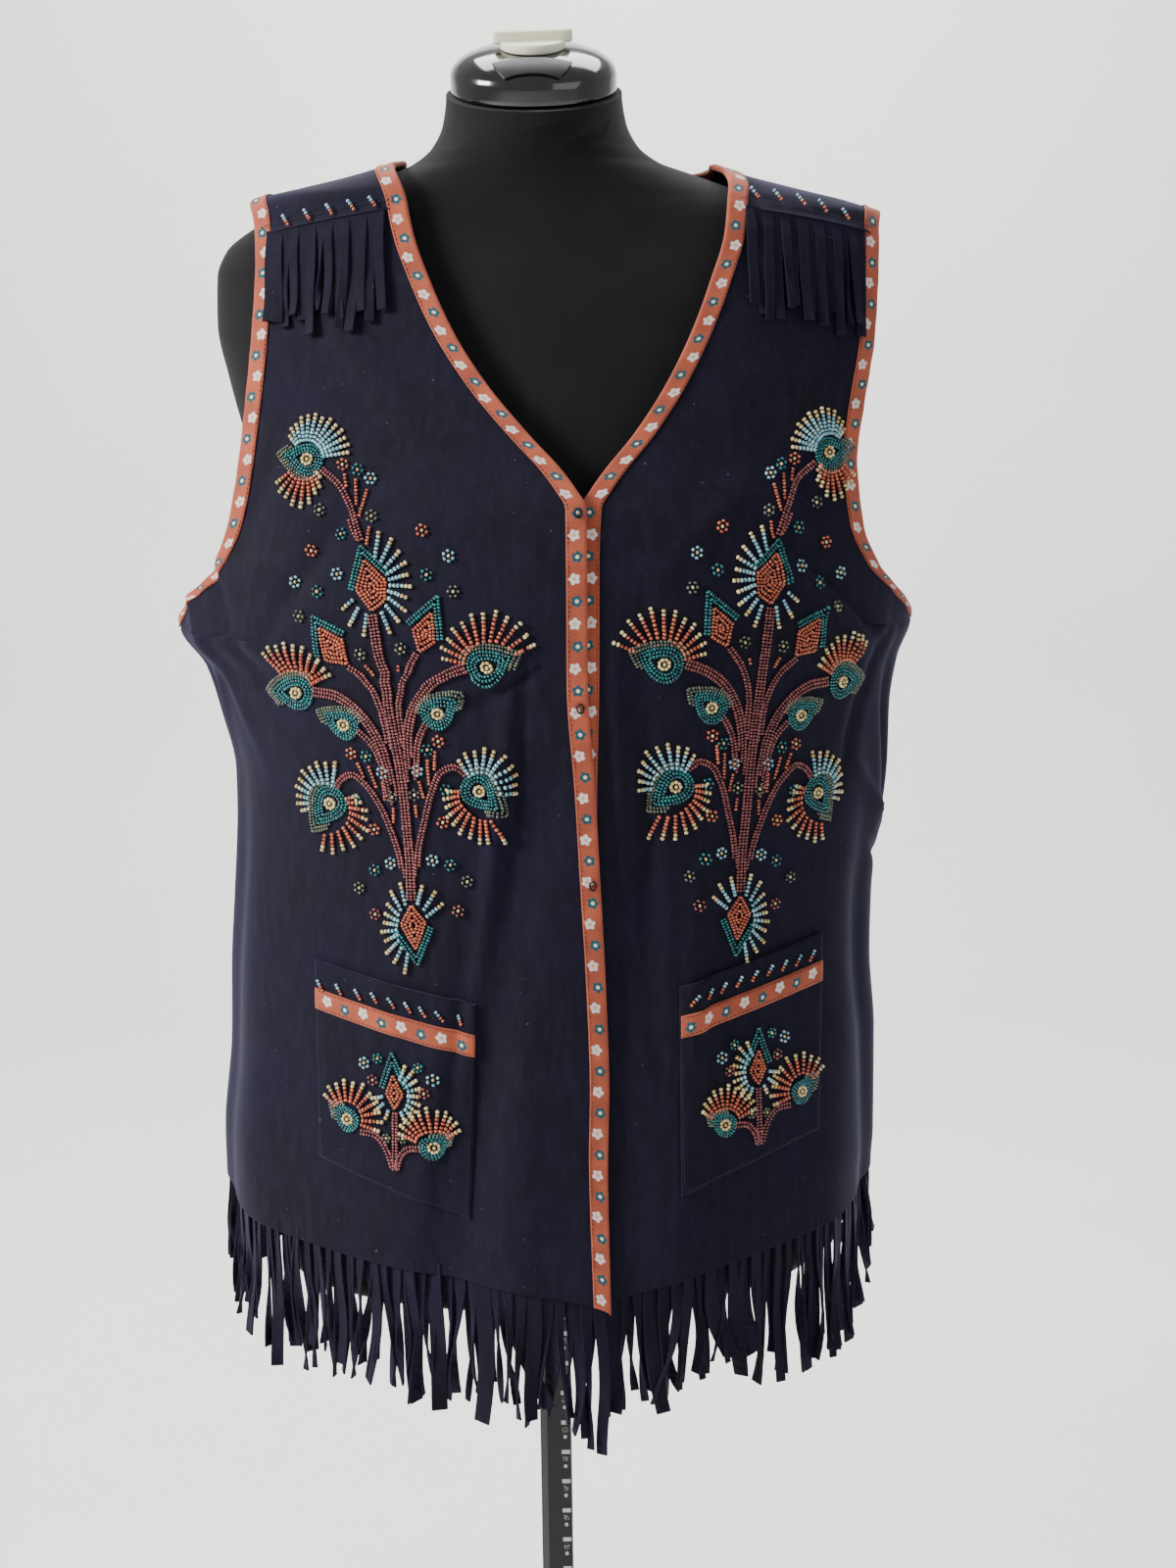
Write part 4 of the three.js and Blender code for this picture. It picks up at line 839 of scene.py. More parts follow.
# many ribbons in one mesh: path (strand, step, xyz), the directions of its width and thickness at each
# step, and half sizes; each section is a rectangle with its corners cut
def ribbons(path, wide, thick, halfWide, halfThick, corner=0.28):
    count, steps = path.shape[:2]
    outline = np.array([
        (-1, -1), (1, -1), (1, -1), (1, 1), (1, 1), (-1, 1), (-1, 1), (-1, -1)], float)
    cut = np.array([(1, 0), (-1, 0), (0, 1), (0, -1), (-1, 0), (1, 0), (0, -1), (0, 1)], float) * corner
    w = outline[:, 0] * halfWide[..., None] + cut[:, 0]
    h = outline[:, 1] * halfThick[..., None] + cut[:, 1]
    rings = path[:, :, None] + wide[:, :, None] * w[..., None] + thick[:, :, None] * h[..., None]
    one = gridFaces(steps, 8, closedColumns=True)
    ends = np.array([[0, 1, 2, 3], [0, 3, 4, 7], [4, 5, 6, 7]])
    one = np.concatenate([one, ends[:, ::-1], ends + (steps - 1) * 8])
    quads = (one[None] + (np.arange(count) * steps * 8)[:, None, None]).reshape(-1, 4)
    along = np.linalg.norm(np.diff(path, axis=1, prepend=path[:, :1]), axis=-1).cumsum(axis=1)
    u = (w + np.arange(count)[:, None, None] * 9.0) * mm
    uv = np.stack(np.broadcast_arrays(u, along[..., None] * mm), -1)
    return rings.reshape(-1, 3), quads, uv.reshape(-1, 2)


# hanging strands: from their roots they fall along down, sway with the square of the way down, turn
# about their own line, and a few curl up tightly; follow(fall, sideways, outwards), when given, places them
# out from what is behind instead
def hangingStrands(roots, outward, tangent, lengths, width, seed, sway=5.0, out=2.0, follow=None,
                   curlShare=0.14, twistMost=0.75):
    draw = np.random.default_rng(seed)
    count, steps = len(roots), 14
    t = np.linspace(0, 1, steps)[None, :]
    lengths = np.asarray(lengths)[:, None]
    lean = draw.normal(0, 0.5, (count, 1)) * sway
    wave = draw.normal(0, 0.32, (count, 1)) * sway
    push = draw.normal(0.25, 0.6, (count, 1)) * out
    phase = draw.uniform(0, 6.28, (count, 1))
    sideways = lean * t ** 2 + wave * t * np.sin(t * 4.2 + phase)
    outwards = push * t ** 1.6 + 0.5 * out * t * np.sin(t * 5 + phase * 1.7)
    fall = t * lengths
    if follow is None:
        path = roots[:, None] - fall[..., None] * np.array([0, 0, 1.0])
        path = path + outward[:, None] * outwards[..., None] + tangent[:, None] * sideways[..., None]
    else:
        path = follow(fall, sideways, np.abs(outwards) + 0.5)
    curls = draw.uniform(0, 1, (count, 1)) < curlShare
    turn = draw.uniform(-1, 1, (count, 1)) * twistMost
    turn = np.where(curls, np.sign(turn) * draw.uniform(1.6, 4.5, (count, 1)), turn)
    twist = turn * np.clip((t - 0.12) / 0.88, 0, 1) ** 1.5
    run = np.gradient(path, axis=1)
    run = run / np.linalg.norm(run, axis=-1, keepdims=True)
    thick = outward[:, None] - run * (outward[:, None] * run).sum(-1, keepdims=True)
    thick = thick / np.linalg.norm(thick, axis=-1, keepdims=True)
    wide = np.cross(run, thick)
    cos, sin = np.cos(twist)[..., None], np.sin(twist)[..., None]
    wide, thick = wide * cos + thick * sin, thick * cos - wide * sin
    narrow = np.where(curls, 0.62, 1.0) * draw.uniform(0.9, 1.12, (count, 1))
    halfWide = width / 2 * (1 - (1 - narrow) * np.clip(t * 3, 0, 1))
    halfThick = np.full_like(halfWide, 0.72)
    return path, wide, thick, halfWide, halfThick


# evenly spaced places along a polyline, with the tangent there
def along(line, pitch, margin):
    steps = np.linalg.norm(np.diff(line, axis=0), axis=-1)
    length = np.concatenate([[0], np.cumsum(steps)])
    count = int((length[-1] - 2 * margin) / pitch) + 1
    at = np.linspace(margin, length[-1] - margin, count)
    points = np.stack([np.interp(at, length, line[:, i]) for i in range(3)], -1)
    ahead = np.stack([np.interp(at + 0.5, length, line[:, i]) for i in range(3)], -1)
    behind = np.stack([np.interp(at - 0.5, length, line[:, i]) for i in range(3)], -1)
    tangent = ahead - behind
    return points, tangent / np.linalg.norm(tangent, axis=-1, keepdims=True), at / length[-1]


# level unit directions away from the form's axis
def flatOut(points):
    out = points.copy()
    out[:, 2] = 0
    return out / np.linalg.norm(out, axis=-1, keepdims=True)


# some meshes as one
def joined(*meshes):
    points, quads, uvs, start = [], [], [], 0
    for p, q, uv in meshes:
        points.append(p)
        quads.append(q + start)
        uvs.append(uv)
        start += len(p)
    return np.concatenate(points), np.concatenate(quads), np.concatenate(uvs)


# the narrow band that strands are cut from: two rows of a curve, one thickness deep
def rootBand(line, outward, tall):
    thickness = 1.4
    grid = np.stack([line, line - np.array([0, 0, tall])])
    normals = np.stack([outward, outward])
    points, quads = clothWall(grid, normals, -thickness / 2, thickness / 2)
    uv = lengthUv(grid).reshape(-1, 2)
    return points, quads, np.concatenate([uv, uv])


fringe = {
    "pitch": 8.3, "width": 9.7, "behind": 1.9, "above": 6.5,
    "right": {"share": [0, 0.1, 0.35, 0.7, 0.9, 1], "long": [104, 98, 92, 95, 84, 66]},
    "left": {"share": [0, 0.3, 0.5, 0.75, 0.92, 1], "long": [92, 80, 100, 108, 84, 62]},
}
fringePieces = {}


# strands hung from a line near the hem in two layers: the rear one half a pitch aside and a little shorter
def hemStrands(name, line, pitch, lengthAt, seed):
    line[:, 2] += fringe["above"]
    out = flatOut(line)
    line = line - out * fringe["behind"]
    draw = np.random.default_rng(seed)
    parts = [rootBand(line, out, 7.0)]
    for layer, (margin, behind, shorter) in enumerate([(4.6, 0.0, 1.0), (4.6 + pitch / 2, 1.6, 0.93)]):
        roots, tangent, share = along(line, pitch, margin)
        count = len(share)
        long = lengthAt(share) * draw.uniform(0.82, 1.06, count) * shorter
        outward = flatOut(roots)
        step = np.where(np.arange(count) % 2, 0.35, -0.45) - behind
        width = fringe["width"] * draw.uniform(0.66, 1.06, (count, 1))
        parts.append(ribbons(*hangingStrands(
            roots + outward * step[:, None], outward, tangent, long, width, seed + 31 + layer,
            sway=10.5, out=4.2, curlShare=0.5, twistMost=1.5)))
    points, quads, uv = joined(*parts)
    return makePiece(name, points, quads, suedeCloth, uv, smooth=False)


for number, side in enumerate(sides):
    line = frontSheet(side, np.linspace(0.006, 0.995, 160), np.zeros(160))
    table = fringe[side]
    fringePieces[side] = hemStrands(
        f"hem_strands_{side}", line, fringe["pitch"],
        lambda share, table=table: np.interp(share, table["share"], table["long"]), 5 + number)
line = backSheet(np.linspace(0.004, 0.996, 260), np.zeros(260))
fringePieces["back"] = hemStrands(
    "hem_strands_back", line, fringe["pitch"] * 1.03, lambda share: 88 - 14 * np.abs(share - 0.5) ** 2 * 4, 9)

# shoulder fringe: strands that lie on the front below the yoke's edge
shoulderFringe = {
    "right": {"from": (-94, 1350), "to": (-170, 1338), "count": 14, "long": 66},
    "left": {"from": (133, 1349), "to": (210, 1336), "count": 14, "long": 66},
}
for number, side in enumerate(sides):
    spec = shoulderFringe[side]
    share = (np.arange(spec["count"]) + 0.5) / spec["count"]
    x = spec["from"][0] + (spec["to"][0] - spec["from"][0]) * share
    z = spec["from"][1] + (spec["to"][1] - spec["from"][1]) * share
    stagger = np.where(np.arange(spec["count"]) % 2, 0.0, 1.35)
    draw = np.random.default_rng(70 + number)
    long = spec["long"] * draw.uniform(0.84, 1.12, spec["count"])

    def lying(fall, sideways, outwards, side=side, x=x, z=z, stagger=stagger):
        px, pz = x[:, None] + sideways * 0.8, z[:, None] - fall
        base = frontPoint(side, px, pz)
        normal = frontNormal(side, px, pz)
        edge = np.clip(fall / 12, 0, 1)
        return base + normal * (1.75 + stagger[:, None] * edge + outwards * edge)[..., None]

    outward = frontNormal(side, x, z)
    roots = frontPoint(side, x, z)
    strands = ribbons(*hangingStrands(
        roots, outward, None, long, 6.2, 80 + number, sway=3.6, out=2.2, follow=lying, curlShare=0.1,
        twistMost=0.4))
    lineX = np.linspace(spec["from"][0], spec["to"][0], 40)
    lineZ = np.linspace(spec["from"][1], spec["to"][1], 40)
    rows = [frontPoint(side, lineX, lineZ + 1.5), frontPoint(side, lineX, lineZ - 4.5)]
    normals = [frontNormal(side, lineX, lineZ + 1.5), frontNormal(side, lineX, lineZ - 4.5)]
    band = np.stack(rows) + np.stack(normals) * 1.75
    points, quads = clothWall(band, np.stack(normals), -0.7, 0.7)
    uv = lengthUv(band).reshape(-1, 2)
    points, quads, uv = joined((points, quads, np.concatenate([uv, uv])), strands)
    fringePieces[f"shoulder_{side}"] = makePiece(
        f"shoulder_strands_{side}", points, quads, suedeCloth, uv, smooth=False)
for piece in fringePieces.values():
    turnOut(piece)
print("fringes made")

# the form: half width, front and back depth at each height
formSections = rowsFrom("z side front back", [
    (646, 186, 121, 117), (700, 191, 124, 121),
    (780, 190, 120, 120), (860, 178, 112, 110),
    (940, 164, 105, 97), (1010, 168, 118, 94),
    (1060, 177, 133, 97), (1096, 181, 137, 100),
    (1150, 184, 124, 103), (1200, 192, 103, 104),
    (1250, 204, 84, 101), (1285, 210.5, 71, 93),
    (1315, 209.5, 61, 82), (1331, 203, 56, 74),
    (1344, 187, 53, 69), (1352.6, 169, 51.5, 65),
    (1361, 146, 50.5, 62), (1369.4, 121, 50.5, 60),
    (1376.4, 101, 51, 59), (1383.6, 81, 52, 58),
    (1394, 67.5, 54, 57.5), (1410, 59.5, 56.5, 57),
    (1429, 57, 57, 57),
])
# soft creases of the jersey at the neck: angle, height, half length and half width in mm, lean
neckCreases = rowsFrom("angle z long wide lean depth", [
    (34, 1404, 22, 2.0, 52, 1.1), (42, 1398, 18, 1.8, 58, -0.9),
    (52, 1408, 16, 2.2, 40, 0.9), (8, 1412, 14, 2.4, 66, 0.6),
    (-38, 1400, 18, 2.4, -48, 0.6), (-150, 1404, 18, 2.4, 44, 0.8),
    (140, 1402, 18, 2.4, -50, 0.8),
])


neckLean = {"degrees": 20, "from": 1390, "top": 1429}  # the neck's top and its cap lean forward


# points turned forward with the cap about the middle of the neck's top
def leaned(points):
    c, s = math.cos(math.radians(neckLean["degrees"])), math.sin(math.radians(neckLean["degrees"]))
    points = np.asarray(points, float)
    y, z = points[..., 1], points[..., 2] - neckLean["top"]
    return np.stack([points[..., 0], y * c - z * s, neckLean["top"] + y * s + z * c], -1)


# a closed torso: half ellipses in front and behind at each height, with the creases added; the top
# rings are sheared forward more and more, up to the cap's lean
def formGrid(rows, turns):
    levels = np.array([row["z"] for row in formSections], float)
    z = np.interp(np.linspace(0, len(levels) - 1, rows), np.arange(len(levels)), levels)[:, None]
    angle = np.linspace(0, 2 * math.pi, turns, endpoint=False)[None, :]
    side = column(formSections, "side", z)
    depth = np.where(
        np.cos(angle) > 0, column(formSections, "front", z), column(formSections, "back", z))
    deg, off = np.degrees(angle), 0
    for crease in neckCreases:
        sideways = ((deg - crease["angle"] + 540) % 360 - 180) * 1.05
        up = z - crease["z"]
        lean = math.radians(crease["lean"])
        length = (up * math.cos(lean) + sideways * math.sin(lean)) / crease["long"]
        width = (sideways * math.cos(lean) - up * math.sin(lean)) / crease["wide"]
        off = off + crease["depth"] * np.exp(-length * length - width * width)
    tilt = math.radians(neckLean["degrees"])
    share = np.clip((z - neckLean["from"]) / (neckLean["top"] - neckLean["from"]), 0, 1)
    y = -(depth + off) * np.cos(angle)
    return np.stack(np.broadcast_arrays(
        (side + off) * np.sin(angle), y * (1 - (1 - math.cos(tilt)) * share),
        z + y * math.sin(tilt) * share), -1)


rows, turns = 200, 150
body = formGrid(rows, turns)
low = body[0] * [1, 1, 0] + [0, 0, 646]
lowRim = [low * [0.985, 0.985, 1] + [0, 0, 0.6], low * [0.95, 0.95, 1] + [0, 0, 2.0]]
under = [low * [s, s, 1] + [0, 0, 2.2] for s in (0.02, 0.4, 0.8)]
crown = np.array([0, 0, neckLean["top"]])
over = [crown + (body[-1] - crown) * s for s in (0.985, 0.6, 0.02)]
grid = np.stack([*under, lowRim[1], lowRim[0], *body[1:], *over])
around = np.linalg.norm(np.diff(grid, axis=1, append=grid[:, :1]), axis=-1)
uvAcross = np.concatenate([np.zeros((len(grid), 1)), np.cumsum(around, axis=1)[:, :-1]], axis=1)
rowSteps = np.linalg.norm(np.diff(grid, axis=0), axis=-1)
uvUp = np.concatenate([np.zeros((1, turns)), np.cumsum(rowSteps, axis=0)])
uv = np.stack([uvAcross, uvUp], -1) * mm
quads = gridFaces(len(grid), turns, closedColumns=True)
count = grid.shape[0] * turns
capQuads = np.array([[0, i, i + 1, i + 2] for i in range(1, turns - 2, 2)])
quads = np.concatenate([quads, capQuads[:, ::-1], capQuads + count - turns])
torso = makePiece("torso_jersey", grid.reshape(-1, 3), quads, jersey, uv.reshape(-1, 2))
turnOut(torso)
print("form made")


# a turned part: a profile of radius and height, carried round the axis
def lathe(name, profile, material, turns, moved=lambda points: points):
    profile = np.array(profile, float)
    angle = np.linspace(0, 2 * math.pi, turns, endpoint=False)
    grid = np.stack([
        profile[:, :1] * np.cos(angle), profile[:, :1] * np.sin(angle), profile[:, 1:] + 0 * angle], -1)
    quads = gridFaces(len(profile), turns, closedColumns=True)
    across = np.concatenate([[0], np.cumsum(np.hypot(*np.diff(profile, axis=0).T))])
    uv = np.stack(np.broadcast_arrays(angle[None, :] * 30, across[:, None]), -1) * mm
    piece = makePiece(name, moved(grid).reshape(-1, 3), quads, material, uv.reshape(-1, 2))
    fill = piece.modifiers.new("poles", "WELD")
    fill.merge_threshold = 0.00002
    return turnOut(piece)


# a profile with its corners rounded by arcs of a radius
def rounded(profile, radius):
    profile = [np.array(p, float) for p in profile]
    out, steps = [profile[0]], 4
    for before, here, after in zip(profile, profile[1:], profile[2:]):
        first, last = before - here, after - here
        cut = min(radius, np.linalg.norm(first) * 0.45, np.linalg.norm(last) * 0.45)
        a = here + first / np.linalg.norm(first) * cut
        b = here + last / np.linalg.norm(last) * cut
        for t in np.linspace(0, 1, steps):
            out.append((1 - t) ** 2 * a + 2 * t * (1 - t) * here + t * t * b)
    return [*out, profile[-1]]


cap = {"radius": 54, "height": 31, "bottom": 1429.3, "rim": 11}


# height of the cap's dome at a radius: the rim and a flattened arch
def domeAt(radius):
    share = np.clip(radius / cap["radius"], 0, 1)
    return cap["bottom"] + cap["rim"] + (cap["height"] - cap["rim"]) * (1 - share ** 2.6) ** 0.5


radii = cap["radius"] * np.sin(np.linspace(math.pi / 2, 0, 34))
profile = [(0.0, cap["bottom"]), (cap["radius"] - 3, cap["bottom"]), (cap["radius"] - 1, cap["bottom"] + 0.6)]
profile += [(cap["radius"], cap["bottom"] + 2.5), (cap["radius"], cap["bottom"] + 5)]
profile += [(r, domeAt(r)) for r in radii[:-1]] + [(0.0, domeAt(0))]
capPiece = lathe("cap_dome", profile, glossBlack, 128, moved=leaned)

# the dial: a disc in front of the cap's middle; its underside follows the dome, its edge is rounded
dial = {"radius": 21, "forward": 10, "rise": 4, "barHalf": 25.5, "barWide": 4.5, "barTall": 8, "turn": 7}
dialTop = float(domeAt(0)) + dial["rise"]
angle = np.linspace(0, 2 * math.pi, 96, endpoint=False)[None, :]
dialShares = [0.002, 0.3, 0.6, 0.9, 0.985, 1, 1, 1, 0.985, 0.95, 0.9, 0.6, 0.3, 0.002]
radii = dial["radius"] * np.array(dialShares)[:, None]
x, y = radii * np.cos(angle), radii * np.sin(angle) - dial["forward"]
onDome = domeAt(np.hypot(x, y)) + 0.3
rise = np.array([0, 0, 0, 0, 0, 0.15, 0.5, 0.78, 0.9, 0.97, 1, 1, 1, 1])[:, None]
grid = leaned(np.stack([x, y, onDome + (dialTop - onDome) * rise], -1))
uv = np.stack(np.broadcast_arrays(angle * 20, np.arange(len(grid))[:, None]), -1) * mm
dialPiece = makePiece(
    "dial_disc", grid.reshape(-1, 3), gridFaces(len(grid), 96, closedColumns=True), creamDial,
    uv.reshape(-1, 2))
dialPiece.modifiers.new("poles", "WELD").merge_threshold = 0.00005
turnOut(dialPiece)


# a rounded block: a superellipse outline carried up with its edges drawn in by a quarter arc
def roundedBlock(name, halfLong, halfWide, low, high, edge, material, power, turn=0.0, centre=(0, 0),
                 turns=96, moved=lambda points: points):
    angle = np.linspace(0, 2 * math.pi, turns, endpoint=False)
    cos, sin = np.cos(angle), np.sin(angle)
    x = np.sign(cos) * np.abs(cos) ** (2 / power)
    y = np.sign(sin) * np.abs(sin) ** (2 / power)
    arc = np.linspace(0, math.pi / 2, 6)
    drawn = np.concatenate([edge * (1 - np.sin(arc)), [0, 0], edge * (1 - np.cos(arc))])
    level = np.concatenate([low + edge * (1 - np.cos(arc)), [low + edge * 1.5, high - edge * 1.5],
                            high - edge * (1 - np.sin(arc))])
    rings = [np.stack([x * 0.01, y * 0.01, 0 * x + low], -1)]
    rings += [np.stack([x * (halfLong - d), y * (halfWide - d), 0 * x + z], -1) for d, z in zip(drawn, level)]
    rings.append(np.stack([x * 0.01, y * 0.01, 0 * x + high], -1))
    grid = np.stack(rings)
    c, s = math.cos(math.radians(turn)), math.sin(math.radians(turn))
    grid = np.stack([grid[..., 0] * c - grid[..., 1] * s + centre[0],
                     grid[..., 0] * s + grid[..., 1] * c + centre[1], grid[..., 2]], -1)
    quads = gridFaces(len(grid), turns, closedColumns=True)
    uv = np.stack(np.broadcast_arrays(angle[None, :] * 10, np.arange(len(grid))[:, None]), -1) * mm
    piece = makePiece(name, moved(grid).reshape(-1, 3), quads, material, uv.reshape(-1, 2))
    weld = piece.modifiers.new("poles", "WELD")
    weld.merge_threshold = 0.00003
    return turnOut(piece)


barLow = dialTop - 2
barPiece = roundedBlock(
    "dial_grip", dial["barHalf"], dial["barWide"], barLow, barLow + dial["barTall"], 1.5, creamDial,
    power=4.5, turn=dial["turn"], centre=(0, -dial["forward"]), moved=leaned)

# the black plate on the cap's front slope: rows at a distance in front of the axis, with half widths
plateRows = [{"out": 36, "half": 25}, {"out": 43, "half": 22}, {"out": 49, "half": 17}]
t = np.linspace(0, 1, 14)
out = np.interp(t, [0, 0.54, 1], [row["out"] for row in plateRows])[:, None]
half = np.interp(t, [0, 0.54, 1], [row["half"] for row in plateRows])[:, None]
x = np.linspace(-1, 1, 40)[None, :] * half
grid = np.stack(np.broadcast_arrays(x, -out, domeAt(np.hypot(x, out))), -1)
normals = gridNormals(grid, flip=True)
normals = normals * np.sign(normals[..., 2:])
points, quads = clothWall(grid, normals, 0.6, 2.0)
uv = np.concatenate([lengthUv(grid).reshape(-1, 2)] * 2)
platePiece = turnOut(makePiece("cap_tag", leaned(points), quads, satinBlack, uv, smooth=False))
edgeRound = platePiece.modifiers.new("edges", "BEVEL")
edgeRound.width, edgeRound.segments, edgeRound.limit_method = 0.0003, 2, "ANGLE"
print("cap and dial made")


# pole paint with pale scale marks down the right of its front face: a bar, a worn blot and a dot, repeated; a
# painted highlight down its left
def poleMaterial():
    s = Shader("poleMarksAndPaintedHighlight", Metallic=0.35)
    here = s.place()
    x, y, z = s.parts(here)
    smear = s.noise(here, 26, 4, 0.6).ramp(0.35, 0.8)
    fine = s.noise(here, 900, 3, 0.6)
    pitch = 0.0222
    down = (0.5 - z / pitch).math("FRACT") * pitch

    def box(left, right, top, bottom):
        soft = 0.00018
        wide = x.ramp(left - soft, left + soft) * (1 - x.ramp(right - soft, right + soft))
        return wide * down.ramp(top - soft, top + soft) * (1 - down.ramp(bottom - soft, bottom + soft))

    dotX, dotZ = (x - 0.0066) / 0.0013, (down - 0.0135) / 0.0014
    dot = 1 - (dotX * dotX + dotZ * dotZ).ramp(0.75, 1.2)
    blot = box(0.0048, 0.0086, 0.0062, 0.0100) * fine.ramp(0.5, 0.56)
    mark = box(0.0040, 0.0104, 0.0012, 0.0042) + blot * 0.55 + dot * 0.9
    onFront = 1 - y.ramp(-0.0109, -0.0107)
    worn = fine.ramp(0.25, 0.45) * 0.25 + 0.75
    # painted highlight: a lighter grey strip down the left of the front face, standing for the pole's left
    # side lit from the left
    paintedLitSide = 1 - x.ramp(-0.0066, -0.0056)
    paint = s.mix(smear * 0.6, colour(15, 15, 16), colour(30, 31, 33))
    paint = s.mix(paintedLitSide * onFront * 0.75, paint, colour(70, 70, 72))
    s.set("Base Color", s.mix(mark * onFront * worn, paint, colour(178, 176, 172)))
    s.set("Roughness", 0.36 + smear * 0.2)
    s.bump(fine * 0.6 + smear * 0.4, 0.00005, 0.5)
    return s.material


polePiece = roundedBlock("pole_square", 11, 11, 46.3, 645.7, 1.0, poleMaterial(), power=14, turns=160)
hubProfile = rounded([(0, 0), (42, 0), (42, 32), (36, 40), (24, 46), (0, 46)], 3)
hubPiece = lathe("hub_turned", hubProfile, satinBlack, 96)

# base legs: a rounded bar whose height falls from the hub to its toe, turned to four corners
leg = {"from": 42.3, "reach": 260, "high": 30, "low": 12.4, "wide": 30}
legPieces = []
for number in range(4):
    out = np.concatenate([
        [leg["from"], leg["from"] + 1.2], np.linspace(50, 252, 30), [257, 259.4, leg["reach"]]])
    top = np.interp(out, [leg["from"], 246, 256, leg["reach"]],
                    [leg["high"], leg["low"], leg["low"] * 0.86, 6])
    section = [(-1, 0.04), (-0.93, 0), (0.93, 0), (1, 0.04), (1, 0.86), (0.96, 0.96), (0.86, 1), (-0.86, 1),
               (-0.96, 0.96), (-1, 0.86)]
    side = np.array([w for w, _ in section])[None, :] * leg["wide"] / 2
    narrow = np.interp(out, [0, 252, leg["reach"]], [1, 1, 0.8])[:, None]
    up = np.array([h for _, h in section])[None, :] * top[:, None]
    angle = math.radians(45 + 90 * number)
    px = out[:, None] * math.cos(angle) - side * narrow * math.sin(angle)
    py = out[:, None] * math.sin(angle) + side * narrow * math.cos(angle)
    grid = np.stack(np.broadcast_arrays(px, py, up), -1)
    quads = gridFaces(len(grid), 10, closedColumns=True)
    caps = np.array([[0, 1, 2, 3], [0, 3, 4, 9], [9, 4, 5, 8], [8, 5, 6, 7]])
    quads = np.concatenate([quads, caps, caps[:, ::-1] + (len(grid) - 1) * 10])
    uv = np.stack(np.broadcast_arrays(out[:, None], side + up), -1) * mm
    piece = makePiece(
        f"leg_bar_{number + 1}", grid.reshape(-1, 3), quads, poleBlack, uv.reshape(-1, 2), smooth=False)
    edgeRound = piece.modifiers.new("edges", "BEVEL")
    edgeRound.width, edgeRound.segments, edgeRound.limit_method = 0.0008, 2, "ANGLE"
    legPieces.append(turnOut(piece))

# hooks: small bent wire eyes on the right front's binding
hookPieces = []
for number, z in enumerate((1162, 1046, 934)):
    x = float(column(frontEdges, "right", z)) - 5
    seat = frontPoint("right", x, z) + frontNormal("right", x, z) * 3.1
    t = np.linspace(0, 2 * math.pi, 48, endpoint=False)
    centre = np.stack([2.0 * np.cos(t) * (1 + 0.12 * np.sin(t)), 0.22 * np.cos(2 * t), 2.7 * np.sin(t)], -1)
    run = np.roll(centre, -1, axis=0) - np.roll(centre, 1, axis=0)
    run = run / np.linalg.norm(run, axis=-1, keepdims=True)
    side = np.cross(run, [0, 1, 0])
    other = np.cross(run, side)
    a = np.linspace(0, 2 * math.pi, 12, endpoint=False)
    ring = centre[:, None] + 0.55 * (side[:, None] * np.cos(a)[:, None] + other[:, None] * np.sin(a)[:, None])
    quads = gridFaces(48, 12, closedRows=True, closedColumns=True)
    uv = np.stack(np.broadcast_arrays(t[:, None], a[None, :]), -1) * mm
    piece = makePiece(
        f"hook_eye_{number + 1}", (ring + seat).reshape(-1, 3), quads, blackWire, uv.reshape(-1, 2))
    hookPieces.append(turnOut(piece))
print("stand and hooks made")

# Beadwork. A place on a front is (a, z): a is the way round the body from the middle front, z the height,
# both in mm. A row is a colour and the line that its thread follows.
middleFront = 23.0
arcStep = 6.0
arcLevels = np.arange(690, 1400, arcStep)
arcSamples = 220


# tables of x against the way round, one for each level of height
def arcTables(side):
    sign = -1 if side == "right" else 1
    tables = []
    for z in arcLevels:
        reach = float(column(vestSections, side, z))
        x = np.linspace(middleFront, sign * reach * 0.9995, arcSamples)
        steps = np.linalg.norm(np.diff(frontPoint(side, x, z), axis=0), axis=-1)
        tables.append((np.concatenate([[0], np.cumsum(steps)]), x))
    return tables


arcsOf = {side: arcTables(side) for side in sides}


# x for places (a, z), from the two levels on either side of z
def xAt(side, a, z):
    level = np.clip((z - arcLevels[0]) / arcStep, 0, len(arcLevels) - 1.001)
    low = level.astype(int)
    x = np.zeros_like(a)
    for k in np.unique(low):
        here = low == k
        share = level[here] - k
        first, second = (np.interp(a[here], *arcsOf[side][k + n]) for n in (0, 1))
        x[here] = first * (1 - share) + second * share
    return x


# flat points turned about the origin
def turned(points, degrees):
    c, s = math.cos(math.radians(degrees)), math.sin(math.radians(degrees))
    points = np.asarray(points, float)
    return np.stack([points[:, 0] * c - points[:, 1] * s, points[:, 0] * s + points[:, 1] * c], -1)


# a drop-shaped line: x = half length cos(t), y = half width sin(t) sin(t / 2), its point at t = 0
def drop(long, wide, shift, start=-180, end=180, count=60):
    t = np.radians(np.linspace(start, end, count))
    return np.stack([long / 2 * np.cos(t) + shift, wide / 2 / 0.77 * np.sin(t) * np.abs(np.sin(t / 2))], -1)


# a smooth line through points: cubic arcs whose slopes are central differences
def smoothLine(points, count=40):
    points = np.asarray(points, float)
    t = np.concatenate([[0], np.cumsum(np.linalg.norm(np.diff(points, axis=0), axis=-1))])
    at = np.linspace(0, t[-1], count)
    if len(points) == 2:
        return np.stack([np.interp(at, t, points[:, i]) for i in (0, 1)], -1)
    slope = np.gradient(points, t, axis=0)
    i = np.clip(np.searchsorted(t, at) - 1, 0, len(t) - 2)
    span = (t[i + 1] - t[i])[:, None]
    u = (at[:, None] - t[i][:, None]) / span
    return (
        points[i] * (1 + 2 * u) * (1 - u) ** 2 + points[i + 1] * u * u * (3 - 2 * u)
        + slope[i] * span * u * (1 - u) ** 2 + slope[i + 1] * span * u * u * (u - 1)
    )


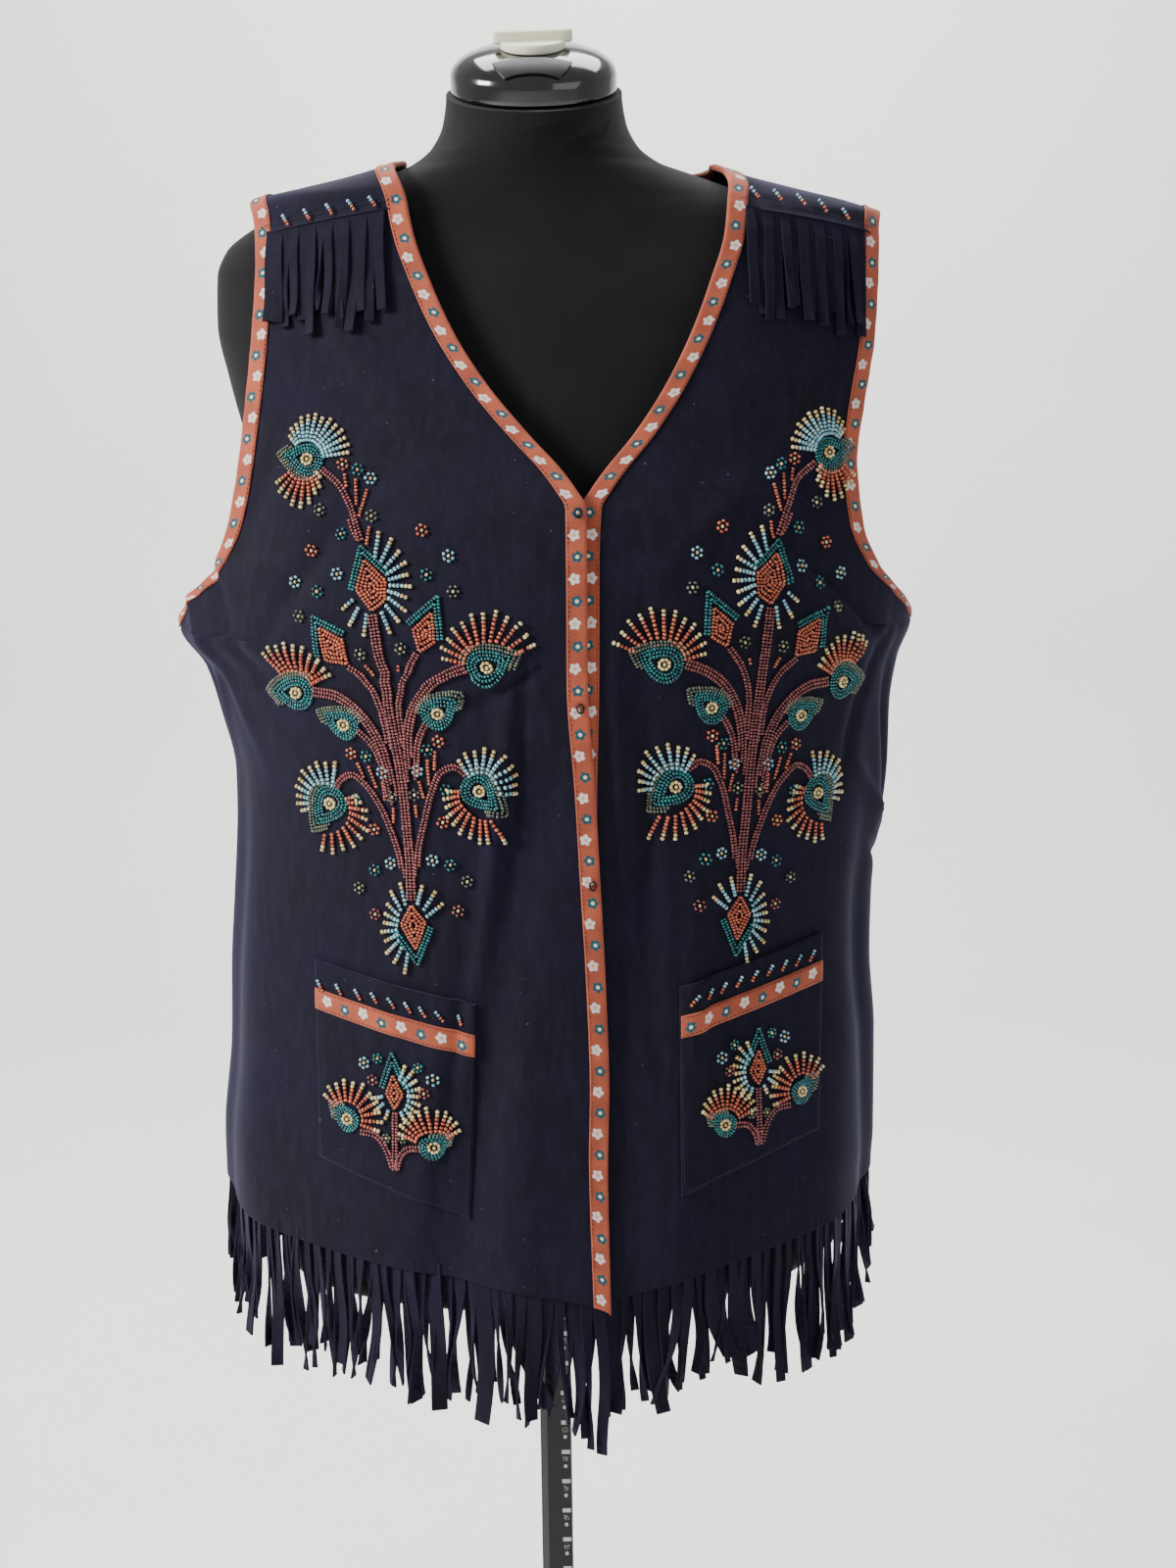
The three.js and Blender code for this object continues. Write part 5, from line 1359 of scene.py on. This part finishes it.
# the line moved sideways by a distance
def beside(line, distance):
    run = np.gradient(line, axis=0)
    run = run / np.maximum(np.linalg.norm(run, axis=-1, keepdims=True), 1e-9)
    return line + np.stack([-run[:, 1], run[:, 0]], -1) * distance


rowPitch = 2.32  # from one thread to the next


# an eye: a seed head of cream beads, three teal drops round it, olive rows over one side and round its
# point, and fans of rays; a ray ends in two cream beads
def eye(into, at, axis, fans, olive, scale=1.0, widen=False):
    at = np.asarray(at, float)
    rows = []

    def put(colour, line):
        rows.append((colour, turned(line * scale, axis) + at))

    for angle in np.radians(np.arange(8) * 45 + axis):
        spoke = np.array([math.cos(angle), math.sin(angle)])
        rows.append(("creamBig", np.stack([at + spoke * 1.7, at + spoke * 4.3])))
    rows.append(("creamBig", np.stack([at - [1.0, 0], at + [1.0, 0]])))
    put("teal", drop(15.6, 10.8, 1.5))
    put("teal", drop(20.8, 15.0, 2.1))
    put("teal", drop(26.0, 19.2, 2.7))
    put("olive", drop(31.2, 23.3, 3.3, *olive))
    put("olive", drop(36.4, 27.2, 3.8, olive[0] + 5, olive[1] - 3))
    fan(rows, at, fans)
    into.extend((colour, spread(line, at) if widen else line) for colour, line in rows)


# a motif near the side is made longer the way round, as the cloth turns away there
def spread(line, at):
    normal = frontNormal("right", xAt("right", at[:1], at[1:]), at[1:])[0]
    facing = abs(normal[1]) / math.hypot(normal[0], normal[1])
    return at + (line - at) * [1 / max(facing, 0.62), 1]


# a filled shape: rows that follow its outline, each a thread further in, down to the middle
def filled(rows, colour, corners):
    corners = np.asarray(corners, float)
    centre = corners.mean(axis=0)
    after = np.roll(corners, -1, axis=0)
    edge = after - corners
    normal = np.stack([-edge[:, 1], edge[:, 0]], -1) / np.linalg.norm(edge, axis=-1, keepdims=True)
    inradius = np.abs(((centre - corners) * normal).sum(axis=-1)).min()
    depth = rowPitch * 0.3
    while depth < inradius - 0.25:
        share = 1 - depth / inradius
        ring = centre + (np.concatenate([corners, corners[:1]]) - centre) * share
        rows.append((colour, ring))
        depth += rowPitch * 0.93


# two rows along a bent line, as a chevron over a bud
def chevron(rows, colour, corners, turnsOut):
    corners = np.asarray(corners, float)
    for k in (0, 1):
        run = [corners[1] - corners[0], corners[2] - corners[1]]
        normal = [np.array([-r[1], r[0]]) / np.linalg.norm(r) * turnsOut for r in run]
        bisector = normal[0] + normal[1]
        tip = corners[1] + bisector / (bisector @ normal[0]) * rowPitch * k
        rows.append((colour, np.stack([corners[0] + normal[0] * rowPitch * k, tip])))
        rows.append((colour, np.stack([tip, corners[2] + normal[1] * rowPitch * k])))


# a fan of straight rays: its colour, its first and last angle, how many rays, and where they start and
# end, as distances that are blended from the first ray to the last
def fanOf(colour, span, rays, near, far):
    return {"colour": colour, "span": span, "rays": rays, "near": near, "far": far}


# the rays of some fans about a middle; each ends in a cream tip
def fan(rows, at, fans):
    for spec in fans:
        angles = np.linspace(*spec["span"], spec["rays"])
        near, far = (
            np.interp(np.linspace(0, 1, spec["rays"]), np.linspace(0, 1, len(spec[end])), spec[end])
            for end in ("near", "far"))
        for i, angle in enumerate(np.radians(angles)):
            spoke = np.array([math.cos(angle), math.sin(angle)])
            end = far[i] + (0.8 if i % 2 else -0.4)
            split = end - 4.9
            rows.append((spec["colour"] + "Big", np.stack([at + spoke * near[i], at + spoke * split])))
            rows.append(("creamBig", np.stack([at + spoke * split, at + spoke * end])))


# a flower of six single beads round a cream one
def rosette(rows, colour, at, size=1.0, turn=0.0):
    at = np.asarray(at, float)
    for k in range(6):
        angle = math.radians(60 * k + turn)
        spoke = np.array([math.cos(angle), math.sin(angle)])
        rows.append((colour, np.stack([at + spoke * 1.85 * size, at + spoke * 4.35 * size])))
    rows.append(("cream", np.stack([at - [0.95, 0.3], at + [0.95, 0.3]])))


# threads side by side along a smooth line; each may stop short of its neighbour by some points
def stem(rows, colour, points, threads, short=0):
    line = smoothLine(points, 60)
    for k in range(threads):
        cut = abs(short) * (k if short > 0 else threads - 1 - k)
        rows.append((colour, beside(line, (k - (threads - 1) / 2) * rowPitch)[:60 - cut]))


# the large spray of one front, in places of the wearer's right front; a grows towards the side, so its
# angles are measured from the middle front outwards
def mainSpray(widen):
    rows = []

    def leaf(*spec):
        eye(rows, *spec, widen=widen)

    # one leaf or eye of the spray: its place, its direction, its fans of rays and its size
    leaf((168, 1196.5), 10, [
        fanOf("sky", (52, 172), 13, [10.5, 10.5, 9.8], [19.5, 28, 29, 27.5]),
        fanOf("rust", (-128, -36), 9, [10, 12, 13], [15.5, 31, 26]),
    ], (-150, 60), 0.94)
    leaf((184.4, 1053.3), 2, [
        fanOf("rust", (54, 150), 10, [14, 13.5, 12], [32, 32, 26]),
    ], (-70, 150), 1.04)
    leaf((56.5, 1071.3), 157, [
        fanOf("rust", (13, 156), 12, [12, 13, 16, 20], [27.5, 31, 35.5, 34.5]),
    ], (-150, 62), 1.08)
    leaf((165.9, 983), -58, [
        fanOf("sky", (-18, 101), 10, [14, 14.5, 11], [22, 27, 28]),
        fanOf("rust", (-80, -200), 10, [20, 14.5, 10.5], [33, 30, 19]),
    ], (-62, 150), 1.04)
    leaf((65.5, 994.6), -139, [
        fanOf("sky", (60, 184), 10, [10, 12, 13], [24, 30, 25]),
        fanOf("rust", (0, -117), 10, [12, 14, 20], [21, 29, 37]),
    ], (-150, 62), 1.06)
    leaf((150.3, 1034.6), 27, [], (-60, 150), 0.86)
    leaf((87.2, 1043.3), 142, [], (-150, 60), 0.92)

    stem(rows, "wine", [(158, 1190.5), (146, 1180.5), (138, 1164), (131.5, 1147)], 2)
    stem(rows, "wine", [(140.6, 1160), (136.4, 1151), (133.8, 1147)], 1)
    stem(rows, "rust", [(142.7, 1187.6), (141.3, 1179)], 1)
    stem(rows, "rust", [(135.4, 1184.6), (135.6, 1168)], 1)
    stem(rows, "rust", [(128.1, 1178.4), (133.2, 1161)], 1)
    stem(rows, "rust", [(126.1, 1156), (128.2, 1144.5)], 1)
    filled(rows, "rust", [(130, 1137), (115.5, 1124), (116, 1111), (125.4, 1104.5), (135.8, 1118)])
    chevron(rows, "teal", [(137.6, 1117), (131, 1140.4), (114.6, 1126.2)], -1)
    fan(rows, np.array([125.5, 1121.0]), [
        fanOf("sky", (100, 248), 10, [16, 11.5, 11, 17], [33, 26, 25, 31]),
        fanOf("sky", (-80, -38), 3, [17, 14], [32, 25]),
    ])
    filled(rows, "rust", [(162, 1096), (144.5, 1088), (143, 1072.5), (158.8, 1074.5)])
    chevron(rows, "teal", [(162.4, 1077), (163.4, 1098.4), (144.6, 1090.4)], -1)
    filled(rows, "rust", [(87, 1106), (85.5, 1086.5), (96.3, 1080), (100.2, 1094.5)])
    chevron(rows, "teal", [(102.2, 1096.8), (85.4, 1110), (84, 1087.8)], -1)
    filled(rows, "rust", [(108.2, 922.5), (115.4, 909), (105.4, 891.5), (98.4, 910.5)])
    chevron(rows, "teal", [(117.5, 904.5), (105, 887.5), (96.5, 908.5)], 1)
    fan(rows, np.array([107.5, 907.0]), [
        fanOf("sky", (74, -80), 10, [14, 9, 9.5, 16], [30, 20, 22, 30]),
        fanOf("sky", (103, 141), 3, [15, 11], [29, 26]),
    ])
    stem(rows, "wine", [(125.2, 1103.5), (122, 1078), (119, 1050), (115.5, 1015), (112, 973),
                        (109.5, 951), (108, 924)], 3)
    stem(rows, "wine", [(144.6, 1071.5), (133, 1062.5), (124.4, 1047), (121.6, 1032), (120.6, 1020)], 2, 4)
    stem(rows, "wine", [(97.4, 1080.5), (107.4, 1066), (111.6, 1050), (111.4, 1035), (110.6, 1022)], 2, -4)
    stem(rows, "wine", [(171.5, 1055), (153.5, 1052.5), (137.6, 1041.5), (128, 1027), (123, 1008),
                        (120.4, 990)], 3, 5)
    stem(rows, "wine", [(69.5, 1071.5), (82, 1067), (93.6, 1059), (102, 1047), (107.6, 1029),
                        (108.4, 1012), (107.6, 1000)], 3, -5)
    stem(rows, "wine", [(141, 1031.5), (133, 1024), (127.6, 1012), (125, 998), (123, 984)], 2, 6)
    stem(rows, "wine", [(95, 1037), (100.6, 1027), (103.4, 1013), (104, 1001)], 2, -6)
    stem(rows, "wine", [(160.7, 993.5), (155.6, 1000), (148.1, 1003), (140, 997.5), (130.5, 985),
                        (122.5, 968), (116.6, 952), (113.6, 938)], 2, 4)
    stem(rows, "wine", [(72.8, 1005), (80, 1010), (88, 1007), (94.5, 995), (100, 975), (103.8, 956),
                        (104.4, 940)], 2, -4)
    for start, end in [
        ((143.9, 1011.3), (139.9, 1001)), ((136.2, 1009.3), (131.6, 995)), ((127.4, 999.5), (126.4, 987)),
        ((120.8, 983.3), (120.9, 973)), ((96.4, 1014.7), (96.6, 998)), ((91, 1020.2), (92.5, 1007.8)),
        ((102.8, 1001.2), (100.3, 989.6)), ((105.9, 985.5), (104.9, 977)), ((132.7, 1072.9), (128.2, 1066)),
        ((110.9, 1073.5), (112.1, 1068.6)),
    ]:
        stem(rows, "rust", [start, end], 1)
    rosettes = {
        "olive": [(159.5, 1165.8), (124.8, 1161.8), (74, 1116.9), (175.2, 1101.4), (134.2, 1079.4),
                  (107.7, 1083),
                  (121.6, 989.6), (106.2, 991.6), (144.6, 930), (73.3, 936.9)],
        "teal": [(134.1, 1189.8), (145.6, 1151), (161.5, 1116.5), (90.3, 1126.9), (136.9, 1015.4),
                 (146.6, 986.6), (95.7, 1020.6), (86, 995.5), (133.7, 942), (83.7, 947.3)],
        "rust": [(143.9, 1193), (166.6, 1141.4), (93.1, 1153.2), (147.4, 1016.6), (134.2, 968.4),
                 (88.4, 1026),
                 (88.6, 974.8)],
        "wine": [(133.2, 913.8), (78.8, 918.1)],
        "sky": [(126, 1184.4), (147.8, 1127.3), (179, 1122.2), (76.8, 1137.9), (127.2, 1005.2),
                (103.4, 1007.2),
                (122.7, 947), (95.1, 950.2)],
    }
    for colour, places in rosettes.items():
        for k, place in enumerate(places):
            rosette(rows, colour, place, 1.0, k * 23 + place[0])
    return rows


# the small spray of a pocket, and nine slanted dashes over its band
def pocketSpray(dashes):
    rows = []
    eye(rows, (154.3, 780.2), 38, [
        fanOf("rust", (40, 194), 11, [10.5, 11, 9.5], [23, 27, 24]),
    ], (-75, 70), 0.74)
    eye(rows, (97.3, 766.7), 150, [
        fanOf("rust", (20, 148), 11, [9.5, 9.5, 10.5], [24, 26, 22]),
    ], (-95, 60), 0.72)
    filled(rows, "rust", [(121.9, 813.5), (127.2, 799.5), (121.3, 788.5), (114.8, 798.8)])
    chevron(rows, "teal", [(128.6, 802.5), (122, 820.5), (113.8, 803)], -1)
    fan(rows, np.array([121.2, 799.0]), [
        fanOf("sky", (112, 248), 9, [10, 8.5, 11], [22, 17.5, 20]),
        fanOf("sky", (-68, -12), 3, [10.5, 7.5], [18, 17]),
    ])
    stem(rows, "wine", [(121.2, 788), (121.7, 762), (121.9, 750)], 2)
    stem(rows, "wine", [(145.5, 773), (134.4, 771.6), (127, 762.5), (123.4, 752)], 2)
    stem(rows, "wine", [(104, 765.8), (113.8, 764.2), (119, 757.5), (120.6, 751)], 2)
    for colour, place, size in [
        ("sky", (141.2, 817.9), 1.0), ("sky", (95.8, 810.2), 1.0), ("teal", (131.6, 821.8), 0.85),
        ("teal", (104.7, 817.5), 0.85), ("wine", (135.6, 807.5), 0.95), ("wine", (101.1, 801.3), 0.9),
        ("olive", (127.4, 770.6), 0.8), ("olive", (116.2, 771.3), 0.8),
    ]:
        rosette(rows, colour, place, size, place[1])
    for a, z in dashes:
        dash(rows, a, z)
    return rows


# four beads on a slant, two pale and two rust
def dash(rows, a, z, lean=1.0):
    spoke, long = np.array([0.55 * lean, 0.835]), 8.6
    rows.append(("sky", np.stack([(a, z) + spoke * long / 2, (a, z) + spoke * 0.02])))
    rows.append(("rust", np.stack([(a, z) + spoke * -0.02, (a, z) - spoke * long / 2])))


beadSizes = {"pitch": 2.02, "radius": 1.1, "big": 1.2}
beadProfile = np.array([(-0.88, 0.42), (-0.48, 0.98), (0.48, 0.98), (0.88, 0.42)])
beadTurns = 6


# beads along each row: evenly spaced centres with the thread's direction
def strung(rows, draw):
    centres, runs, colours, sizes = [], [], [], []
    for colour, line in rows:
        line = np.asarray(line, float)
        big = beadSizes["big"] if colour.endswith("Big") else 1.0
        t = np.concatenate([[0], np.cumsum(np.linalg.norm(np.diff(line, axis=0), axis=-1))])
        count = max(1, int(round(t[-1] / (beadSizes["pitch"] * big))))
        at = (np.arange(count) + 0.5) / count * t[-1]
        point = np.stack([np.interp(at, t, line[:, i]) for i in (0, 1)], -1)
        ahead = np.stack([np.interp(at + 0.4, t, line[:, i]) for i in (0, 1)], -1)
        behind = np.stack([np.interp(at - 0.4, t, line[:, i]) for i in (0, 1)], -1)
        run = ahead - behind
        run = run / np.maximum(np.linalg.norm(run, axis=-1, keepdims=True), 1e-9)
        centres.append(point + draw.normal(0, 0.07, point.shape))
        runs.append(run + draw.normal(0, 0.07, run.shape))
        colours += [colour.removesuffix("Big")] * count
        sizes += [big] * count
    return np.concatenate(centres), np.concatenate(runs), np.array(colours), np.array(sizes)


beadStock = {name: [] for name in beadColours}


# beads set on a front: each stands on the cloth with its hole along the thread
def sew(side, rows, stand, seed, mirror=0.0):
    draw = np.random.default_rng(seed)
    centres, runs, colours, sizes = strung(rows, draw)
    a, z = centres[:, 0] + mirror, centres[:, 1]
    step = 0.5

    def surface(a, z):
        return frontPoint(side, xAt(side, a, z), z)

    base = surface(a, z)
    normal = frontNormal(side, xAt(side, a, z), z)
    axis = surface(a + runs[:, 0] * step, z + runs[:, 1] * step) - base
    axis = axis - normal * (axis * normal).sum(-1, keepdims=True)
    axis = axis / np.linalg.norm(axis, axis=-1, keepdims=True)
    other = np.cross(normal, axis)
    radius = beadSizes["radius"] * sizes * draw.uniform(0.94, 1.06, len(a))
    half = beadSizes["pitch"] * 0.5 * sizes * draw.uniform(0.9, 1.02, len(a))
    centre = base + normal * (stand + radius * 0.98)[:, None]
    spin = draw.uniform(0, 6.28, (len(a), 1))
    around = spin + np.linspace(0, 2 * math.pi, beadTurns, endpoint=False)[None, :]
    tone = draw.uniform(0, 1, len(a))
    radial = np.cos(around)[..., None] * normal[:, None] + np.sin(around)[..., None] * other[:, None]
    points = (
        centre[:, None, None] + axis[:, None, None] * (beadProfile[:, 0] * half[:, None])[..., None, None]
        + radial[:, None] * (beadProfile[:, 1] * radius[:, None])[..., None, None]
    )
    for name in beadStock:
        chosen = colours == name
        beadStock[name].append((points[chosen], tone[chosen]))
    return len(a)


pocketDashes = {
    "right": [(172.5, 864.6), (158.5, 863.6), (144.8, 861.6), (132.9, 860.4), (121.2, 858.2),
              (110.9, 855.9),
              (101.2, 853.4), (90.6, 851), (77.5, 848.4)],
    "left": [(71.5, 858.2), (82, 861), (92.5, 863.6), (103.5, 866.4), (114.5, 868.8), (125.5, 871),
             (136.5, 872.8),
             (147.5, 874.6), (158.5, 876.2)],
}
beadCount = sew("right", mainSpray(True), suede / 2, 301)
beadCount += sew("left", mainSpray(False), suede / 2, 302, mirror=-2.4)
beadCount += sew("right", pocketSpray(pocketDashes["right"]), pocketSeat + pocketThickness, 303)
leftSpray = [(colour, np.asarray(line) + [-5.3, 8.6]) for colour, line in pocketSpray([])]
for a, z in pocketDashes["left"]:
    dash(leftSpray, a, z)
beadCount += sew("left", leftSpray, pocketSeat + pocketThickness, 304)
print(f"{beadCount} beads strung")


# the way round the body at x, the other way about from xAt
def arcAt(side, x, z):
    places, xs = arcsOf[side][int(round((z - arcLevels[0]) / arcStep))]
    order = np.argsort(xs)
    return np.interp(x, xs[order], places[order])


# dashes on the yokes, just over their fringe: each laid over the yoke's raised edge
yokeDashes = {
    "right": [(-157, 1345.6), (-143, 1348.6), (-128.5, 1351.2), (-114.5, 1353.4), (-101, 1355.4)],
    "left": [(139, 1357.2), (153.5, 1355.6), (168, 1353.2), (182.5, 1349.8), (197, 1345.4)],
}


for side in sides:
    rows = []
    for x, z in yokeDashes[side]:
        dash(rows, float(arcAt(side, x, z)), z, lean=1.0 if side == "right" else -1.0)
    beadCount += sew(side, rows, suede / 2 + 2.0, 305 + len(side))


# one mesh for each colour, from the rings of its beads; the tone differs from bead to bead
def beadPieces():
    pieces = {}
    for name, stock in beadStock.items():
        points = np.concatenate([part[0] for part in stock])
        tones = np.concatenate([part[1] for part in stock])
        count, rows, turns = points.shape[:3]
        one = gridFaces(rows, turns, closedRows=True, closedColumns=True)
        quads = (one[None] + (np.arange(count) * rows * turns)[:, None, None]).reshape(-1, 4)
        piece = makePiece(f"beads_{name}", points.reshape(-1, 3), quads, beadColours[name])
        layer = piece.data.attributes.new("beadTone", "FLOAT", "POINT")
        layer.data.foreach_set("value", np.repeat(tones, rows * turns).astype(np.float32))
        turnOut(piece)
        pieces[name] = piece
    return pieces


beadMeshes = beadPieces()
print("beads:", {name: len(piece.data.polygons) * 2 for name, piece in beadMeshes.items()}, "triangles")


# stitches along a line of points: short spindles a little apart, each lying on the cloth
def sewStitches(name, lines, material):
    draw = np.random.default_rng(len(lines))
    pitch, long, thick, turns = 3.0, 2.2, 0.3, 6
    profile = np.array([(-1, 0.4), (0, 1), (1, 0.4)])
    size = len(profile) * turns
    rings = []
    for points, normals in lines:
        points = points.reshape(-1, 3)
        normals = normals.reshape(-1, 3)
        length = np.concatenate([[0], np.cumsum(np.linalg.norm(np.diff(points, axis=0), axis=-1))])
        at = np.arange(pitch, length[-1] - pitch, pitch)
        at = at + draw.normal(0, 0.08, len(at))

        def along(values, at):
            return np.stack([np.interp(at, length, values[:, i]) for i in range(3)], -1)

        run = along(points, at + 0.6) - along(points, at - 0.6)
        run = run / np.linalg.norm(run, axis=-1, keepdims=True)
        up = along(normals, at)
        up = up - run * (up * run).sum(-1, keepdims=True)
        up = up / np.linalg.norm(up, axis=-1, keepdims=True)
        aside = np.cross(up, run)
        turn = np.linspace(0, 2 * math.pi, turns, endpoint=False)
        radial = np.cos(turn)[:, None] * up[:, None] + np.sin(turn)[:, None] * aside[:, None]
        centre = along(points, at)[:, None, None]
        rings.append(
            centre + run[:, None, None] * (profile[:, :1] * long / 2)[None, :, None]
            + radial[:, None] * (profile[:, 1:] * thick)[None, :, None])
    rings = np.concatenate(rings)
    one = np.concatenate([gridFaces(len(profile), turns, closedColumns=True), [[0, 3, 2, 1], [0, 5, 4, 3]],
                          np.array([[0, 1, 2, 3], [0, 3, 4, 5]]) + size - turns])
    quads = (one[None] + (np.arange(len(rings)) * size)[:, None, None]).reshape(-1, 4)
    return turnOut(makePiece(name, rings.reshape(-1, 3), quads, material))


for side in sides:
    share = np.linspace(0.03, 0.97, 120)
    edge = frontSheet(side, share, np.full(120, seamV + 0.012))
    normals = frontNormal(side, edge[:, 0], edge[:, 2])
    seams["navy"].append((edge + normals * (suede / 2 + 2.2), normals))
stitchPieces = {
    "brown": sewStitches("stitches_brown", seams["brown"], brownThread),
    "navy": sewStitches("stitches_navy", seams["navy"], navyThread),
}
print("stitches:", {name: len(piece.data.polygons) * 2 for name, piece in stitchPieces.items()}, "triangles")

# what each piece stands for, and what it rides on
standsFor = {}
for side in sides:
    standsFor[fronts[side]] = [f"vest_front_{side}"]
    standsFor[fronts[f"yoke_{side}"]] = [f"shoulder_yoke_{side}"]
    standsFor[bindings[f"front_{side}"]] = [f"front_binding_{side}"]
    standsFor[bindings[f"armhole_{side}"]] = [f"armhole_binding_{side}"]
    standsFor[pocketPieces[side]] = [f"pocket_{side}"]
    standsFor[bandPieces[side]] = [f"pocket_band_{side}"]
    standsFor[fringePieces[side]] = [f"hem_fringe_{side}"]
    standsFor[fringePieces[f"shoulder_{side}"]] = [f"shoulder_fringe_{side}"]
standsFor[backPiece] = ["vest_back"]
standsFor[bindings["neck"]] = ["back_neck_binding"]
standsFor[fringePieces["back"]] = ["hem_fringe_back"]
standsFor[torso] = ["form_torso"]
standsFor[capPiece] = ["neck_cap"]
standsFor[dialPiece] = ["neck_dial"]
standsFor[platePiece] = ["cap_plate"]
standsFor[polePiece] = ["pole"]
standsFor[hubPiece] = ["base_hub"]
for number, piece in enumerate(legPieces):
    standsFor[piece] = [f"base_leg_{number + 1}"]
for number, piece in enumerate(hookPieces):
    standsFor[piece] = [f"hook_{number + 1}"]
for piece, nodes in standsFor.items():
    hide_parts(*nodes)
    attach(piece, "root")
slots = {
    "suede": [*fronts.values(), backPiece, *pocketPieces.values(), *fringePieces.values()],
    "binding": [*bindings.values(), *bandPieces.values()],
    "jersey": [torso], "gloss": [capPiece], "dial": [dialPiece, barPiece], "plate": [platePiece, hubPiece],
    "pole": [polePiece, *legPieces], "metal": hookPieces, "beads": list(beadMeshes.values()),
}
slots["suede"].append(stitchPieces["navy"])
slots["binding"].append(stitchPieces["brown"])
for piece in [barPiece, *beadMeshes.values(), *stitchPieces.values()]:
    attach(piece, "root")

# the cloth pieces and the sizes that they were cut to
for side in sides:
    declare(fronts[side], frontGrids[side])
    declare(fronts[f"yoke_{side}"], frontGrids[f"yoke_{side}"])
    declare(pocketPieces[side], pocketGrids[side])
    declare(bandPieces[side], pocketGrids[f"band_{side}"])
declare(backPiece, backGrid)
print("cloth declared:")
for name, flat, area in softFlats:
    print(f"  {name}: {flat[0]:.3f} x {flat[1]:.3f} m, {area:.4f} m2")


# matt near-white paint with a faint unevenness
def backdropMaterial():
    s = Shader("backdrop")
    tone = s.noise(s.place(), 1.6, 3, 0.5)
    s.set("Base Color", s.mix(tone, colour(234, 233, 230), colour(244, 243, 241)))
    s.set("Roughness", 0.85 + tone * 0.1)
    s.bump(s.noise(s.place(), 60, 2, 0.5), 0.0002, 0.3)
    return s.material


# floor and a pale sweep behind, as one sheet of points: flat, then a quarter turn, then upright, in mm
reach, bend, tall, wideOut = 3000, 700, 4200, 4200
turnIn = np.linspace(0, math.pi / 2, 20)
y = np.concatenate([[-wideOut, -1200, 0], reach + bend * np.sin(turnIn), [reach + bend]])
z = np.concatenate([[0, 0, 0], bend * (1 - np.cos(turnIn)), [tall]])
x = np.linspace(-wideOut, wideOut, 9)
grid = np.stack(np.broadcast_arrays(x[None, :], y[:, None], z[:, None]), -1)
uv = lengthUv(grid).reshape(-1, 2)
floor = makePiece("floor", grid.reshape(-1, 3), gridFaces(*grid.shape[:2]), backdropMaterial(), uv)

# camera: a standing view a little from above and to the wearer's left, rolled by under a degree
camera = {"place": (29, -1450, 1205), "down": 9.0, "roll": 0.77, "lens": 49.5, "sensor": 36}
down, roll = math.radians(camera["down"]), math.radians(camera["roll"])
forward = np.array([0, math.cos(down), -math.sin(down)])
upright = np.array([0, math.sin(down), math.cos(down)])
across = np.array([1.0, 0, 0])
right = across * math.cos(roll) - upright * math.sin(roll)
above = upright * math.cos(roll) + across * math.sin(roll)
view = bpy.data.objects.new("view", bpy.data.cameras.new("view"))
bpy.context.scene.collection.objects.link(view)
view.data.lens, view.data.sensor_width = camera["lens"], camera["sensor"]
view.data.sensor_fit = "AUTO"
basis = np.eye(4)
basis[:3, 0], basis[:3, 1], basis[:3, 2] = right, above, -forward
basis[:3, 3] = np.array(camera["place"]) * mm
view.matrix_world = Matrix(basis.tolist())
view.data.clip_end = 20
bpy.context.scene.camera = view

# plain soft studio light: place, size in m, strength in W, aimed at the chest
lights = rowsFrom("name place size power tint aim", [
    ("key", (-2.5, -1.0, 2.3), 0.9, 172, (1.0, 0.985, 0.96), (0, 0, 1.1)),
    ("fill", (1.9, -1.9, 1.5), 1.8, 15, (0.95, 0.975, 1.0), (0, 0, 1.1)),
    ("wall", (0.2, 1.3, 3.4), 2.4, 190, (1.0, 1.0, 1.0), (0, 2.9, 0.3)),
])
for spec in lights:
    lamp = bpy.data.objects.new(spec["name"], bpy.data.lights.new(spec["name"], "AREA"))
    bpy.context.scene.collection.objects.link(lamp)
    lamp.data.shape, lamp.data.size = "SQUARE", spec["size"]
    lamp.data.energy, lamp.data.color = spec["power"], spec["tint"]
    lamp.location = spec["place"]
    aim = Vector(spec["aim"]) - Vector(spec["place"])
    lamp.rotation_euler = aim.to_track_quat("-Z", "Y").to_euler()
world = bpy.data.worlds.new("studio")
world.use_nodes = True
world.node_tree.nodes["Background"].inputs["Color"].default_value = (0.93, 0.95, 1.0, 1)
world.node_tree.nodes["Background"].inputs["Strength"].default_value = 0.52
bpy.context.scene.world = world

print("scene made")
